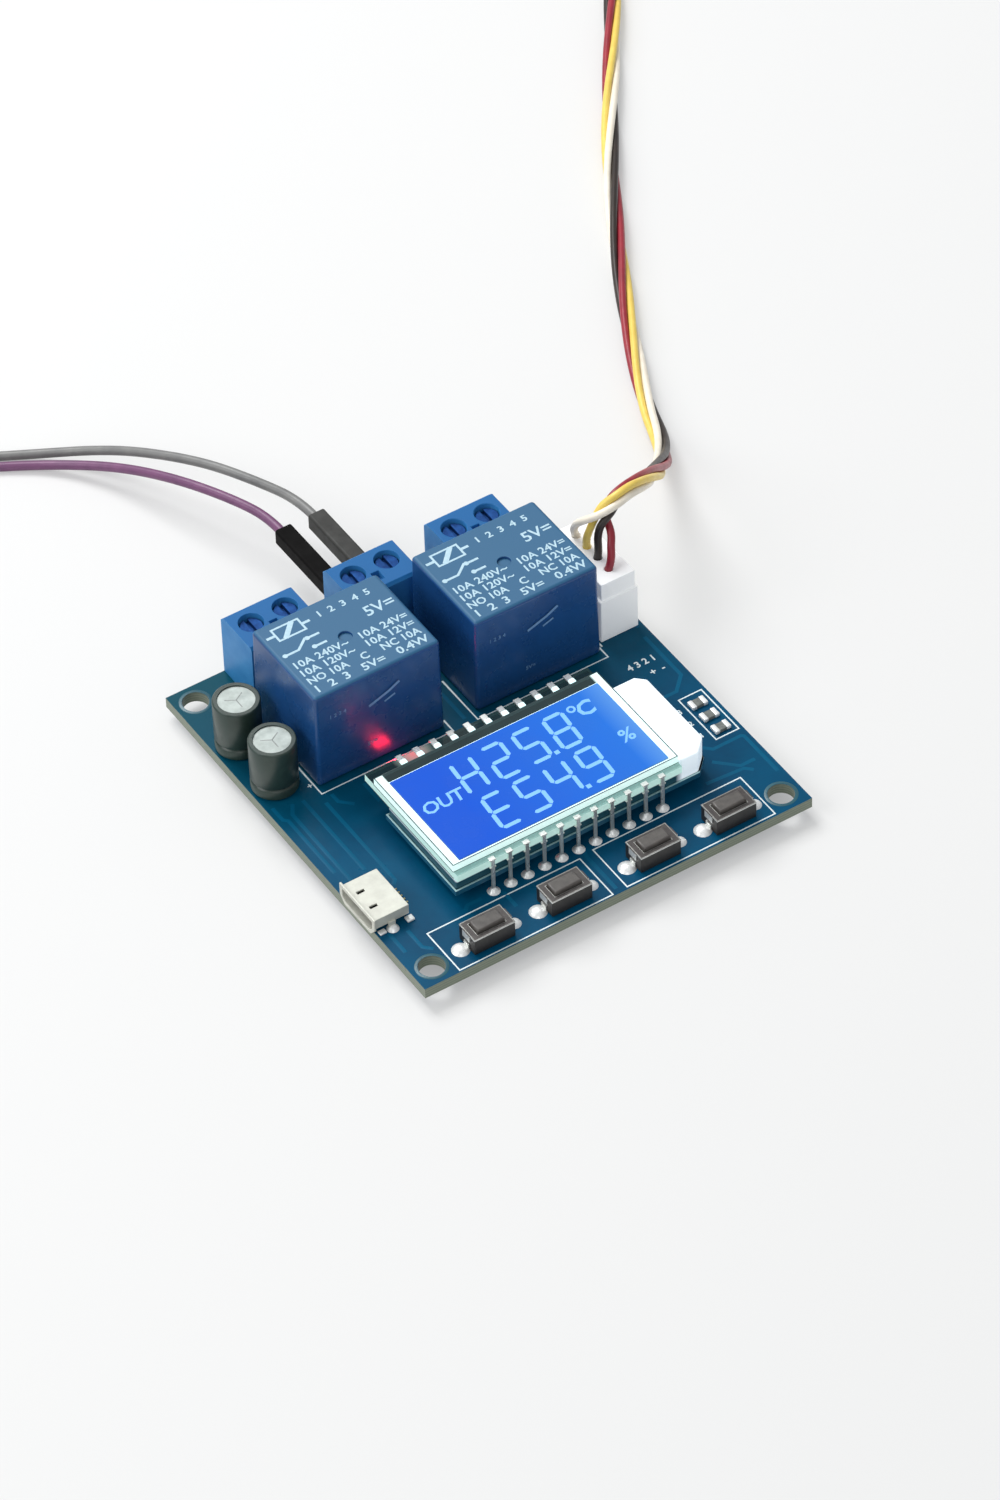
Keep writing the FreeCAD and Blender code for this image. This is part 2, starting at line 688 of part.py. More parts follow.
def make_usb():
    x, y = f"(-{BOARD_WIDTH} / 2 - usb_overhang)", from_front("usb_front")
    shell = new_body("usb_shell_body")
    pad(shell, sketch(shell, "usb_outline", "YZ_Plane", [usb_profile("0")]), "usb_length")
    pad(shell, sketch(shell, "usb_flare", "YZ_Plane", [usb_profile("usb_flare")]), "usb_overhang - seat_gap")
    pocket(shell, sketch(shell, "usb_mouth", "YZ_Plane", [usb_profile("(-usb_wall)")]), "usb_length - usb_wall",
           reverse=True)
    windows = [rectangle("usb_window", "usb_window_width", "usb_length / 2 - usb_window", f"{side} * usb_width / 5")
               for side in SIDES]
    pocket(shell, sketch(shell, "usb_windows", "XY_Plane", windows, level="usb_height"), "1.5 * usb_wall")
    place(shell, x, y, TOP)
    legs = [block(f"usb_leg_{i}", "usb_leg", "usb_wall", f"{TOP} + usb_leg_drop + usb_height / 2",
                  spot[0], spot[1], "-usb_leg_drop") for i, spot in enumerate(usb_leg_spots(), start=1)]
    keep(fuse("usb_shell_solid", [shell] + legs), "usb_shell")

    depth = "usb_length - usb_wall"
    heel = block("usb_heel", "usb_heel_length", "usb_width - 2 * usb_corner - 2 * usb_wall",
                 "usb_height - 2 * usb_wall - seat_gap", f"{x} + {depth} - usb_heel_length / 2", y, f"{TOP} + usb_wall")
    tongue = block("usb_blade", f"{depth} - usb_window", "usb_tongue_width", "usb_tongue_thick",
                   f"{x} + ({depth} + usb_window) / 2", y, f"{TOP} + usb_height / 2")
    keep(fuse("usb_insert", (heel, tongue)), "usb_tongue")


def make_display():
    level = f"{TOP} + pane_level"
    front_depth = f"({PANE_DEPTH} - ledge_front - ledge_back)"
    front_y = f"({DISPLAY_Y} + (ledge_front - ledge_back) / 2)"
    keep(block("rear_pane", "pane_width", PANE_DEPTH, "pane_thick", PANE_X, DISPLAY_Y, level), "display_rear_glass")
    keep(block("front_pane", "pane_width", front_depth, "pane_thick", PANE_X, front_y, f"{level} + pane_thick"),
         "display_front_glass")
    keep(block("film", "pane_width - 2 * film_margin_side", f"{front_depth} - film_margin_front - film_margin_back",
               "film_thick", PANE_X, f"{front_y} + (film_margin_front - film_margin_back) / 2",
               f"{level} + 2 * pane_thick"), "display_film")
    make_light_guide()
    make_display_pins()


def chamfered_end(left, right, depth):
    """A rectangle with both corners of its right end cut off."""
    half, front, back = f"({depth}) / 2", "guide_chamfer", "guide_back_chamfer"
    return [(left, f"-{half}"), (f"{right} - {front}", f"-{half}"), (right, f"{front} - {half}"),
            (right, f"{half} - {back}"), (f"{right} - {back}", half), (left, half)]


def make_light_guide():
    left, right = from_left("(pane_left + guide_inset)"), GUIDE_RIGHT
    guide = new_body("guide_body")
    pad(guide, sketch(guide, "guide_outline", "XY_Plane", [chamfered_end(left, right, GUIDE_DEPTH)]), "guide_thick")
    end = chamfered_end(f"{PANE_X} + pane_width / 2 + guide_pane_gap", right, GUIDE_DEPTH)
    pad(guide, sketch(guide, "guide_block", "XY_Plane", [end]), "guide_thick + guide_block_rise")
    place(keep(guide, "light_guide"), "0", GUIDE_Y, f"{TOP} + {GUIDE_LEVEL}")

    tray = new_body("tray_body")
    wall = "(tray_wall + seat_gap)"
    outer = chamfered_end(f"{left} - {wall}", f"{right} + seat_gap", f"{GUIDE_DEPTH} + 2 * {wall}")
    pad(tray, sketch(tray, "tray_outline", "XY_Plane", [outer]), "tray_height")
    inner = chamfered_end(f"{left} - seat_gap", f"{right} + tray_wall", f"{GUIDE_DEPTH} + 2 * seat_gap")
    pocket(tray, sketch(tray, "tray_bed", "XY_Plane", [inner], level="tray_height"), "tray_height - tray_thick")
    place(keep(tray, "display_tray"), "0", GUIDE_Y, f"{TOP} + {TRAY_LEVEL}")


def make_display_pins():
    """Flat pins up from the board, each with two fingers that grip the edge of the rear pane."""
    pieces = []
    upper = f"{TOP} + pane_level + pane_thick"
    for side, ledge in zip(SIDES, ("ledge_front", "ledge_back")):
        reach = f"({ledge} - 3 * seat_gap)"
        for number, (x, y) in enumerate(display_pin_spots(side), start=1):
            label = f"display_pin_{'front' if side < 0 else 'back'}_{number}"
            inward = f"{y} + {-side} * ({reach} - display_pin_thick) / 2"
            pieces.append(block(label, "display_pin_width", "display_pin_thick",
                                f"{upper} + finger_thick + tail_length", x, y, "-tail_length"))
            pieces.append(block(label + "_over", "finger_width", reach, "finger_thick", x, inward, upper))
            pieces.append(block(label + "_under", "finger_width", reach, "finger_thick", x, inward,
                                f"{TOP} + pane_level - finger_thick"))
            pieces.append(frustum(label + "_fillet", "display_solder_side", "display_pin_thick / 2", "fillet_height",
                                  x, y, TOP))
            pieces.append(frustum(label + "_solder", "display_pin_thick / 2", "display_solder_side",
                                  "solder_height", x, y, "-solder_height"))
    for number, (x, y) in enumerate(guide_pin_spots(), start=1):
        pieces += soldered_pin(f"guide_pin_{number}", "guide_pin_side", "guide_pin_side", x, y,
                               f"({TOP} + {TRAY_LEVEL})")
    keep(fuse("display_pin_set", pieces), "display_pins")


SWITCH_Y = from_front("switch_front")
COVER_TOP = f"({TOP} + switch_height + cover_thick)"


def make_switch(number, left):
    x, name = from_left(left), f"switch_{number}"
    base = new_body(name + "_base_body")
    pad(base, sketch(base, name + "_outline", "XY_Plane", [rectangle("switch_length", "switch_width")]),
        "switch_height")
    opening = rectangle("plunger_length + 2 * running_gap", "plunger_width + 2 * running_gap")
    pocket(base, sketch(base, name + "_well", "XY_Plane", [opening], level="switch_height"),
           "plunger_height - plunger_proud - cover_thick + press_room")
    place(keep(base, name + "_base"), x, SWITCH_Y, TOP)

    plunger = new_body(name + "_plunger_body")
    pad(plunger, sketch(plunger, name + "_stem", "XY_Plane", [rectangle("plunger_length", "plunger_width")]),
        "plunger_height")
    soften(plunger, name + "_crown", "Fillet", "plunger_round", lies_at(SIZES["plunger_height"]))
    place(keep(plunger, name + "_plunger"), x, SWITCH_Y, f"{COVER_TOP} + plunger_proud - plunger_height")


def make_switch_metal():
    """The thin covers with their end tabs, and the bent legs in their solder."""
    covers, legs = [], []
    for number, left in SWITCHES.items():
        x, name = from_left(left), f"switch_{number}"
        plate = block(name + "_plate", "switch_length", "switch_width", "cover_thick", x, SWITCH_Y,
                      f"{TOP} + switch_height")
        hole = block(name + "_hole", "plunger_length + 2 * running_gap", "plunger_width + 2 * running_gap",
                     "3 * cover_thick", x, SWITCH_Y, f"{TOP} + switch_height - cover_thick")
        pieces = [cut(name + "_frame", plate, hole)]
        for side in SIDES:
            end = f"{x} + {side} * (switch_length + cover_thick) / 2"
            pieces.append(block(f"{name}_tab_{side + 2}", "cover_thick", "tab_width", "tab_drop + cover_thick", end,
                                SWITCH_Y, f"{TOP} + switch_height - tab_drop"))
            label = f"{name}_leg_{side + 2}"
            riser = f"{x} + {side} * (switch_length + leg_thick) / 2"
            foot = f"{x} + {side} * (switch_length + leg_reach) / 2"
            tip = f"{x} + {side} * (switch_length / 2 + leg_solder_reach)"
            legs.append(fuse(label, (
                block(label + "_riser", "leg_thick", "leg_width", "leg_rise", riser, SWITCH_Y, TOP),
                block(label + "_foot", "leg_reach", "leg_width", "leg_thick", foot, SWITCH_Y, TOP),
                frustum(label + "_solder", "leg_solder_side", "leg_solder_tip", "leg_solder_height", tip, SWITCH_Y,
                        TOP),
            )))
        covers.append(fuse(name + "_cover", pieces))
    keep(fuse("switch_cover_set", covers), "switch_covers")
    keep(fuse("switch_leg_set", legs), "switch_legs")


def make_sensor_connector():
    header = new_body("header_body")
    pad(header, sketch(header, "header_outline", "XY_Plane", [rectangle("header_width", "header_length")]),
        "header_height")
    inside = rectangle("header_width - 2 * header_wall", "header_length - 2 * header_wall")
    pocket(header, sketch(header, "header_bed", "XY_Plane", [inside], level="header_height"),
           "header_height - header_floor")
    passages = [rectangle("header_pin + 2 * seat_gap", "header_pin + 2 * seat_gap", "0", y)
                for y in header_pin_spots()]
    pocket(header, sketch(header, "header_passages", "XY_Plane", passages), "header_floor", reverse=True)
    slots = [rectangle("header_slot_width", "header_slot_depth", f"{side} * header_slot_spread",
                       "header_height - header_slot_depth / 2") for side in SIDES]
    pocket(header, sketch(header, "header_slots", "YZ_Plane", slots, level="header_width / 2"),
           "header_wall + seat_gap")
    place(keep(header, "sensor_header"), HEADER_X, HEADER_Y, TOP)

    pins = []
    for number, y in enumerate(header_pin_spots(HEADER_Y), start=1):
        label = f"header_pin_{number}"
        pins.append(block(label, "header_pin", "header_pin",
                          f"{TOP} + header_floor + header_pin_reach + tail_length", HEADER_X, y, "-tail_length"))
        pins.append(frustum(label + "_solder", "header_pin / 2", "solder_side", "solder_height", HEADER_X, y,
                            "-solder_height"))
    keep(fuse("header_pin_set", pins), "sensor_header_pins")

    plug = new_body("plug_body")
    fit = "(header_wall + running_gap)"
    stem = rectangle(f"header_width - 2 * {fit}", f"header_length - 2 * {fit}")
    rise = "(header_height - header_floor)"
    pad(plug, sketch(plug, "plug_stem", "XY_Plane", [stem]), rise)
    rim = rectangle("header_width - 2 * plug_inset", "header_length - 2 * plug_inset")
    pad(plug, sketch(plug, "plug_rim", "XY_Plane", [rim], level=rise), "plug_rim")
    sockets = [rectangle("header_pin + 2 * running_gap", "header_pin + 2 * running_gap", "0", y)
               for y in header_pin_spots()]
    pocket(plug, sketch(plug, "plug_sockets", "XY_Plane", sockets), "header_pin_reach + running_gap", reverse=True)
    holes = [("0", y, "wire_hole_radius") for y in header_pin_spots()]
    pocket(plug, sketch(plug, "plug_wire_holes", "XY_Plane", circles=holes, level=f"{rise} + plug_rim"),
           "wire_hole_depth")
    place(keep(plug, "sensor_plug"), HEADER_X, HEADER_Y, f"{TOP} + header_floor + seat_gap")


# Leads, each a bare route of points in the part's frame

FIRST_ROUTE = (
    (-2.24, 44.85, 5.165), (-2.24, 48.3, 5.165), (-3.9, 52.6, 5.5), (-6.8, 59.6, 4.9), (-9.6, 66.8, 3.1),
    (-12.7, 73.2, 1.0), (-17.4, 78.8, -0.6), (-23.3, 82.9, -0.95), (-30.0, 86.4, -0.95), (-37.6, 88.0, -0.95),
    (-45.6, 87.2, -0.95), (-53.2, 84.2, -0.95), (-59.6, 79.8, -0.9), (-64.8, 73.8, -0.33), (-68.4, 67.0, -0.33),
)
SECOND_ROUTE = (
    (2.84, 44.85, 5.165), (2.84, 49.0, 5.165), (-0.2, 54.8, 5.8), (-4.0, 62.2, 5.6), (-8.7, 70.9, 3.3),
    (-12.4, 76.6, 1.1), (-16.6, 80.8, -0.4), (-22.6, 84.8, -0.95), (-30.0, 89.0, -0.95), (-37.6, 92.6, -0.95),
    (-45.6, 95.0, -0.95), (-54.2, 96.2, -0.9), (-62.3, 95.6, -0.33), (-70.2, 93.9, -0.33),
)
SENSOR_ROUTE = (
    (25.5, 13.65, 11.4), (25.5, 13.65, 14.6), (27.1, 13.5, 17.6), (30.3, 13.8, 19.1), (33.8, 15.4, 17.7),
    (37.9, 18.6, 14.3), (43.2, 24.6, 8.0), (47.9, 30.4, 3.0), (51.3, 36.2, 0.3), (53.5, 42.6, -0.27),
    (57.4, 51.2, -0.27), (65.2, 66.4, -0.27), (78.6, 89.6, -0.27), (95.4, 113.4, -0.27), (108.8, 134.0, -0.27),
    (116.4, 149.2, -0.2), (120.0, 162.0, 0.4), (121.2, 172.2, 0.4),
)
BEND_SHARE = 0.45


def lead(name, route, diameter):
    """A tube along straight runs that tangent arcs join, its section read from the sheet."""
    points = [FreeCAD.Vector(*point) for point in route]
    edges, start, radii = [], points[0], []
    for before, corner, after in zip(points, points[1:], points[2:]):
        entry, leaving = corner - before, after - corner
        inward, outward = FreeCAD.Vector(entry).normalize(), FreeCAD.Vector(leaving).normalize()
        turn = inward.getAngle(outward)
        setback = BEND_SHARE * min(entry.Length, leaving.Length)
        radii.append(setback / math.tan(turn / 2))
        bend_start, bend_end = corner - inward * setback, corner + outward * setback
        middle = (outward - inward).normalize()
        bulge = radii[-1] / math.cos(turn / 2) - radii[-1]
        edges.append(Part.LineSegment(start, bend_start).toShape())
        edges.append(Part.Arc(bend_start, corner + middle * bulge, bend_end).toShape())
        start = bend_end
    edges.append(Part.LineSegment(start, points[-1]).toShape())
    path = Part.Wire(edges)
    radius = SIZES[diameter] / 2
    ring = Part.Wire(Part.makeCircle(radius, points[0], (points[1] - points[0]).normalize()))
    tube = path.makePipeShell([ring], True, False)
    item = doc.addObject("Part::Feature", name + "_tube")
    item.Shape = tube
    section = math.pi * radius ** 2 * path.Length
    print(f"{name}: {path.Length:.1f} mm long, tightest bend {min(radii):.1f} mm, volume {tube.Volume / section:.4f}")
    return keep(item, name)


HOUSING_FRONT = f"({BOARD_DEPTH} / 2 + housing_gap)"
CONTACT_LEVEL = f"({CAGE_BED} + cage_floor + contact_side / 2 + contact_rest)"


def make_wire_housing(name):
    """A long square housing with a latch window, lying along +Y from its mouth at the origin."""
    housing = new_body(name + "_body")
    side = sketch(housing, name + "_section", "XZ_Plane", [rectangle("housing_side", "housing_side")])
    pad(housing, side, "housing_length", reverse=True)
    soften(housing, name + "_edges", "Chamfer", "housing_edge",
           lambda edge: abs(edge.Vertexes[-1].Point.y - edge.Vertexes[0].Point.y) > 1.0)
    window = rectangle("housing_window", "housing_window_length", "0", "housing_window_reach")
    pocket(housing, sketch(housing, name + "_window", "XY_Plane", [window], level="housing_side / 2"),
           "housing_side / 4")
    return keep(housing, name)


def contact(name):
    """The square pin that stands out of a housing's mouth."""
    item = doc.addObject("Part::Box", name)
    bind(item, Length="contact_side", Width="contact_reach", Height="contact_side")
    return item


def make_jumper(number, pole, route):
    """A lead from one pole of the middle terminal, with a housing and a contact at both ends."""
    near = make_wire_housing(f"jumper_{number}_housing")
    x, z = pole_spots("b")[pole], f"{TOP} + {CONTACT_LEVEL}"
    place(near, x, HOUSING_FRONT, z)
    near_contact = contact(f"jumper_{number}_near_contact")
    place(near_contact, f"{x} - contact_side / 2", f"{HOUSING_FRONT} - contact_reach", f"{z} - contact_side / 2")
    lead(f"jumper_{number}_lead", route, "jumper_diameter")

    far = make_wire_housing(f"jumper_{number}_end")
    last, before = FreeCAD.Vector(*route[-1]), FreeCAD.Vector(*route[-2])
    heading = last - before
    flat = FreeCAD.Vector(heading.x, heading.y, 0).normalize()
    turn = FreeCAD.Rotation(FreeCAD.Vector(0, 1, 0), -flat)
    mouth = FreeCAD.Vector(last.x, last.y, -SIZES["tail_length"] + SIZES["housing_side"] / 2)
    mouth = mouth + flat * SIZES["housing_length"]
    far.Placement = FreeCAD.Placement(mouth, turn)
    far_contact = contact(f"jumper_{number}_far_contact")
    corner = FreeCAD.Vector(-SIZES["contact_side"] / 2, -SIZES["contact_reach"], -SIZES["contact_side"] / 2)
    far_contact.Placement = FreeCAD.Placement(mouth + turn.multVec(corner), turn)
    return near_contact, far_contact


def make_probe():
    """A flat vented capsule at the far end of the sensor's lead."""
    probe = new_body("probe_body")
    pad(probe, sketch(probe, "probe_outline", "XY_Plane",
                      [rectangle("probe_width", "probe_length", "0", "probe_length / 2")]), "probe_height")
    soften(probe, "probe_edges", "Fillet", "probe_round", is_upright)
    vents = [rectangle("probe_slot_length", "probe_slot_width", "0", f"probe_length / 2 + {i} * probe_slot_pitch")
             for i in range(-1, 4)]
    pocket(probe, sketch(probe, "probe_vents", "XY_Plane", vents, level="probe_height"), "probe_slot_depth")
    last, before = FreeCAD.Vector(*SENSOR_ROUTE[-1]), FreeCAD.Vector(*SENSOR_ROUTE[-2])
    flat = FreeCAD.Vector(last.x - before.x, last.y - before.y, 0).normalize()
    probe.Placement = FreeCAD.Placement(FreeCAD.Vector(last.x, last.y, -SIZES["tail_length"]),
                                        FreeCAD.Rotation(FreeCAD.Vector(0, 1, 0), flat))
    keep(probe, "sensor_probe")


def chip(name, x, y):
    """A small block with a metal cap on each end."""
    pieces = [block(name, "chip_length", "chip_width", "chip_height", x, y, TOP)]
    for side in SIDES:
        pieces.append(block(f"{name}_cap_{side + 2}", "chip_cap", "chip_width + 2 * chip_cap_proud",
                            "chip_height + chip_cap_proud", f"{x} + {side} * (chip_length - chip_cap) / 2", y, TOP))
    return fuse(name + "_solid", pieces)


def make_surface_parts():
    x = from_left(f"({RELAY_1_LEFT} + lamp_shift)")
    y = from_front(f"({RELAY_FRONT} - relay_width / 2 - lamp_room)")
    carrier = block("lamp_carrier", "chip_length", "chip_width", "lamp_base", x, y, TOP)
    lens = block("lamp_dome", "lamp_lens_length", "lamp_lens_width", "lamp_lens", x, y, f"{TOP} + lamp_base")
    keep(fuse("lamp", (carrier, lens)), "red_indicator")

    chips = []
    for i in range(3):
        chips.append(chip(f"chip_{i + 1}", from_left(f"({BOARD_WIDTH} - side_chips_margin)"),
                          from_front(f"side_chips_front + {i} * chip_pitch")))
    keep(fuse("chip_set", chips), "chip_parts")

    x, y = PANE_X, GUIDE_Y
    pieces = [block("controller_case", "controller_length", "controller_width", "controller_height - seat_gap", x, y,
                    f"{TOP} + seat_gap")]
    middle = (CONTROLLER_PINS - 1) / 2
    for i in range(CONTROLLER_PINS):
        pieces.append(block(f"controller_pin_{i + 1}", "controller_leg",
                            "controller_width + 2 * controller_leg_reach", "controller_leg",
                            f"{x} + {i - middle} * controller_pitch", y, TOP))
    keep(fuse("controller", pieces), "controller_chip")


def make_board_pins():
    spots = list(relay_pin_spots())
    pins = [piece for i, (x, y) in enumerate(spots, start=1)
            for piece in soldered_pin(f"relay_pin_{i}", "relay_pin_width", "relay_pin_thick", x, y,
                                      f"({TOP} + relay_lift)")]
    keep(fuse("relay_pin_set", pins), "relay_pins")
    pins = [piece for i, (x, y) in enumerate(can_pin_spots(), start=1)
            for piece in (rod(f"can_pin_{i}", "can_pin_radius", f"{TOP} + can_lift + tail_length", x, y,
                              "-tail_length"),
                          frustum(f"can_pin_{i}_solder", "0.8 * can_pin_radius", "solder_side", "solder_height",
                                  x, y, "-solder_height"))]
    keep(fuse("can_pin_set", pins), "capacitor_leads")


make_board()
for relay, left in RELAYS.items():
    make_relay(relay, left)
for terminal, left in TERMINALS.items():
    make_terminal(terminal, left)
make_terminal_contacts()
for capacitor, front in CANS.items():
    make_capacitor(capacitor, front)
make_board_pins()
make_usb()
make_display()
for switch, left in SWITCHES.items():
    make_switch(switch, left)
make_switch_metal()
make_sensor_connector()
lead("sensor_lead", SENSOR_ROUTE, "sensor_lead_diameter")
make_probe()
contacts = make_jumper(1, 0, FIRST_ROUTE) + make_jumper(2, 1, SECOND_ROUTE)
keep(fuse("jumper_contact_set", contacts), "jumper_pins")
make_surface_parts()

doc.recompute()
for item in doc.Objects:
    if "Invalid" in item.State or "Error" in item.State:
        raise RuntimeError(f"{item.Name} ({item.Label}) did not build: {item.State}")

os.makedirs("parts", exist_ok=True)
for item in PARTS:
    shape = item.Shape
    if shape.isNull() or not shape.isValid():
        raise RuntimeError(f"{item.Label} has no valid shape")
    shape.exportStep(f"parts/{item.Label}.step")
print(f"{len(PARTS)} sub-parts written")
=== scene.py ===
"""Looks of a relay module that switches by temperature and humidity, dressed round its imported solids.

Blender works in metres. Lengths named or given as mm are on the board: from its front left corner,
and up from its upper face.
"""

import logging
import math
from dataclasses import dataclass
from enum import Enum
from functools import cache
from typing import Iterable, Sequence

import bmesh
import bpy
from mathutils import Matrix, Vector

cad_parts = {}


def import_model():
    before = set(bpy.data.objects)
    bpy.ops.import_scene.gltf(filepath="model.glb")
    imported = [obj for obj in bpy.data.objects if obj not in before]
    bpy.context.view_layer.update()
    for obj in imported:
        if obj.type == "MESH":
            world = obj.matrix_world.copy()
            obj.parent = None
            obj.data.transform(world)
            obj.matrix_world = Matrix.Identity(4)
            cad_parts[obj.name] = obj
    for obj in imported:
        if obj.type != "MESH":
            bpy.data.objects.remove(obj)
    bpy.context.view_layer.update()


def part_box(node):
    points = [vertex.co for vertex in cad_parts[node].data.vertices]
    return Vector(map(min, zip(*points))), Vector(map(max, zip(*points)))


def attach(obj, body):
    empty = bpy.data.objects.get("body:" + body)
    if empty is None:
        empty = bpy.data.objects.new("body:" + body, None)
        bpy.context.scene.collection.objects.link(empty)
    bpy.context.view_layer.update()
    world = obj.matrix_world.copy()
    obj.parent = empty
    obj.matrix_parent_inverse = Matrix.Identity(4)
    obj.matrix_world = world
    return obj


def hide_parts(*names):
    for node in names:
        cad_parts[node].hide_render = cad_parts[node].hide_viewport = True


log = logging.getLogger("module")

MM = 0.001
BOARD_SIZE = (58.0, 61.5, 1.6)
TABLE_LEVEL = -3.2
LEVEL_TO_UPRIGHT = (0.75, 0.55)
MERGE_LIMIT = 1e-7
FLAT_ANGLE = 0.4
PRINT_RISE = 0.012
Point = Sequence[float]


def at(x: float, y: float, z: float = 0.0) -> Vector:
    """A point in the part's frame, from mm right, back and up of the board's front left upper corner."""
    return Vector((x - BOARD_SIZE[0] / 2, y - BOARD_SIZE[1] / 2, z + BOARD_SIZE[2])) * MM


def tone(red: int, green: int, blue: int) -> tuple[float, float, float, float]:
    """A screen colour as the linear colour that shaders take.

    Args:
        red: its red, 0 to 255.
        green: its green.
        blue: its blue.

    Returns:
        Linear red, green and blue, and a full alpha.
    """
    linear = [(v / 12.92 if v <= 0.04045 else ((v + 0.055) / 1.055) ** 2.4) for v in
              (channel / 255 for channel in (red, green, blue))]
    return (*linear, 1.0)


def linked(name: str, data: bpy.types.ID) -> bpy.types.Object:
    """Puts a mesh, curve, camera or lamp in the scene.

    Args:
        name: the object's name.
        data: what it shows.

    Returns:
        The object.
    """
    item = bpy.data.objects.new(name, data)
    bpy.context.scene.collection.objects.link(item)
    return item


class Body(Enum):
    """Bodies that more than one kind of piece rides on."""

    MODULE = "module"


# Finishes


class Nodes:
    """Adds and links the nodes of one tree."""

    def __init__(self, tree: bpy.types.NodeTree) -> None:
        """Starts on an empty tree."""
        self.tree = tree

    @classmethod
    def of_material(cls, name: str) -> tuple[bpy.types.Material, "Nodes"]:
        """A new material that has no nodes yet.

        Args:
            name: its name.

        Returns:
            The material, and its nodes to add to.
        """
        made = bpy.data.materials.new(name)
        made.use_nodes = True
        made.node_tree.nodes.clear()
        return made, cls(made.node_tree)

    def add(self, kind: str, **settings: object) -> bpy.types.Node:
        """A new node of a kind, with its settings and the plain values of its named inputs.

        Args:
            kind: the node's type name without its prefix.
            settings: attributes of the node, or with a leading underscore an input's value.

        Returns:
            The node.
        """
        node = self.tree.nodes.new(kind if kind.startswith("Node") else "ShaderNode" + kind)
        for name, value in settings.items():
            if name.startswith("_"):
                node.inputs[name[1:].replace("_", " ")].default_value = value
            else:
                setattr(node, name, value)
        return node

    def link(self, source: bpy.types.NodeSocket, target: bpy.types.NodeSocket) -> None:
        """Joins an output to an input."""
        self.tree.links.new(source, target)

    def show(self, shader: bpy.types.Node) -> None:
        """Makes a shader the material's surface."""
        self.link(shader.outputs[0], self.add("OutputMaterial").inputs[0])

    def place(self) -> bpy.types.NodeSocket:
        """The output with the surface's own place, in metres."""
        return self.add("TexCoord").outputs["Object"]

    def blend(self, factor: bpy.types.NodeSocket, low: object, high: object) -> bpy.types.NodeSocket:
        """A colour between two, by a factor.

        Args:
            factor: the output that chooses.
            low: a colour or an output, at 0.
            high: a colour or an output, at 1.

        Returns:
            The mixed colour's output.
        """
        mix = self.add("Mix", data_type="RGBA")
        self.link(factor, mix.inputs[0])
        for slot, value in ((6, low), (7, high)):
            if isinstance(value, bpy.types.NodeSocket):
                self.link(value, mix.inputs[slot])
            else:
                mix.inputs[slot].default_value = value
        return mix.outputs[2]

    def span(self, value: bpy.types.NodeSocket, low: float, high: float, to_low: float = 0.0,
             to_high: float = 1.0) -> bpy.types.NodeSocket:
        """A value carried from one range to another and kept inside it.

        Args:
            value: the output to carry over.
            low: start of its range.
            high: end of its range.
            to_low: result at the start.
            to_high: result at the end.

        Returns:
            The result's output.
        """
        mapped = self.add("MapRange")
        self.link(value, mapped.inputs[0])
        for slot, number in enumerate((low, high, to_low, to_high), start=1):
            mapped.inputs[slot].default_value = number
        return mapped.outputs[0]

    def ramp(self, axis: str, start: float, end: float, to_start: float = 0.0,
             to_end: float = 1.0) -> bpy.types.NodeSocket:
        """A value that changes between two places on the board, and is even beyond them.

        Args:
            axis: X, Y or Z.
            start: the first place along it, in mm.
            end: the second place.
            to_start: result at the first.
            to_end: result at the second.

        Returns:
            The result's output.
        """
        split = self.add("SeparateXYZ")
        self.link(self.place(), split.inputs[0])
        low, high = (at(mm, mm, mm)["XYZ".index(axis)] for mm in (start, end))
        return self.span(split.outputs[axis], low, high, to_start, to_end)

    def steepness(self) -> bpy.types.NodeSocket:
        """How upright a face stands, 0 for level and 1 for upright.

        Returns:
            The result's output.
        """
        split = self.add("SeparateXYZ")
        self.link(self.add("NewGeometry").outputs["Normal"], split.inputs[0])
        level = self.add("Math", operation="ABSOLUTE")
        self.link(split.outputs["Z"], level.inputs[0])
        return self.span(level.outputs[0], *LEVEL_TO_UPRIGHT)

    def most(self, *values: bpy.types.NodeSocket) -> bpy.types.NodeSocket:
        """The largest of several values.

        Args:
            values: their outputs.

        Returns:
            The result's output.
        """
        result = values[0]
        for value in values[1:]:
            larger = self.add("Math", operation="MAXIMUM")
            self.link(result, larger.inputs[0])
            self.link(value, larger.inputs[1])
            result = larger.outputs[0]
        return result


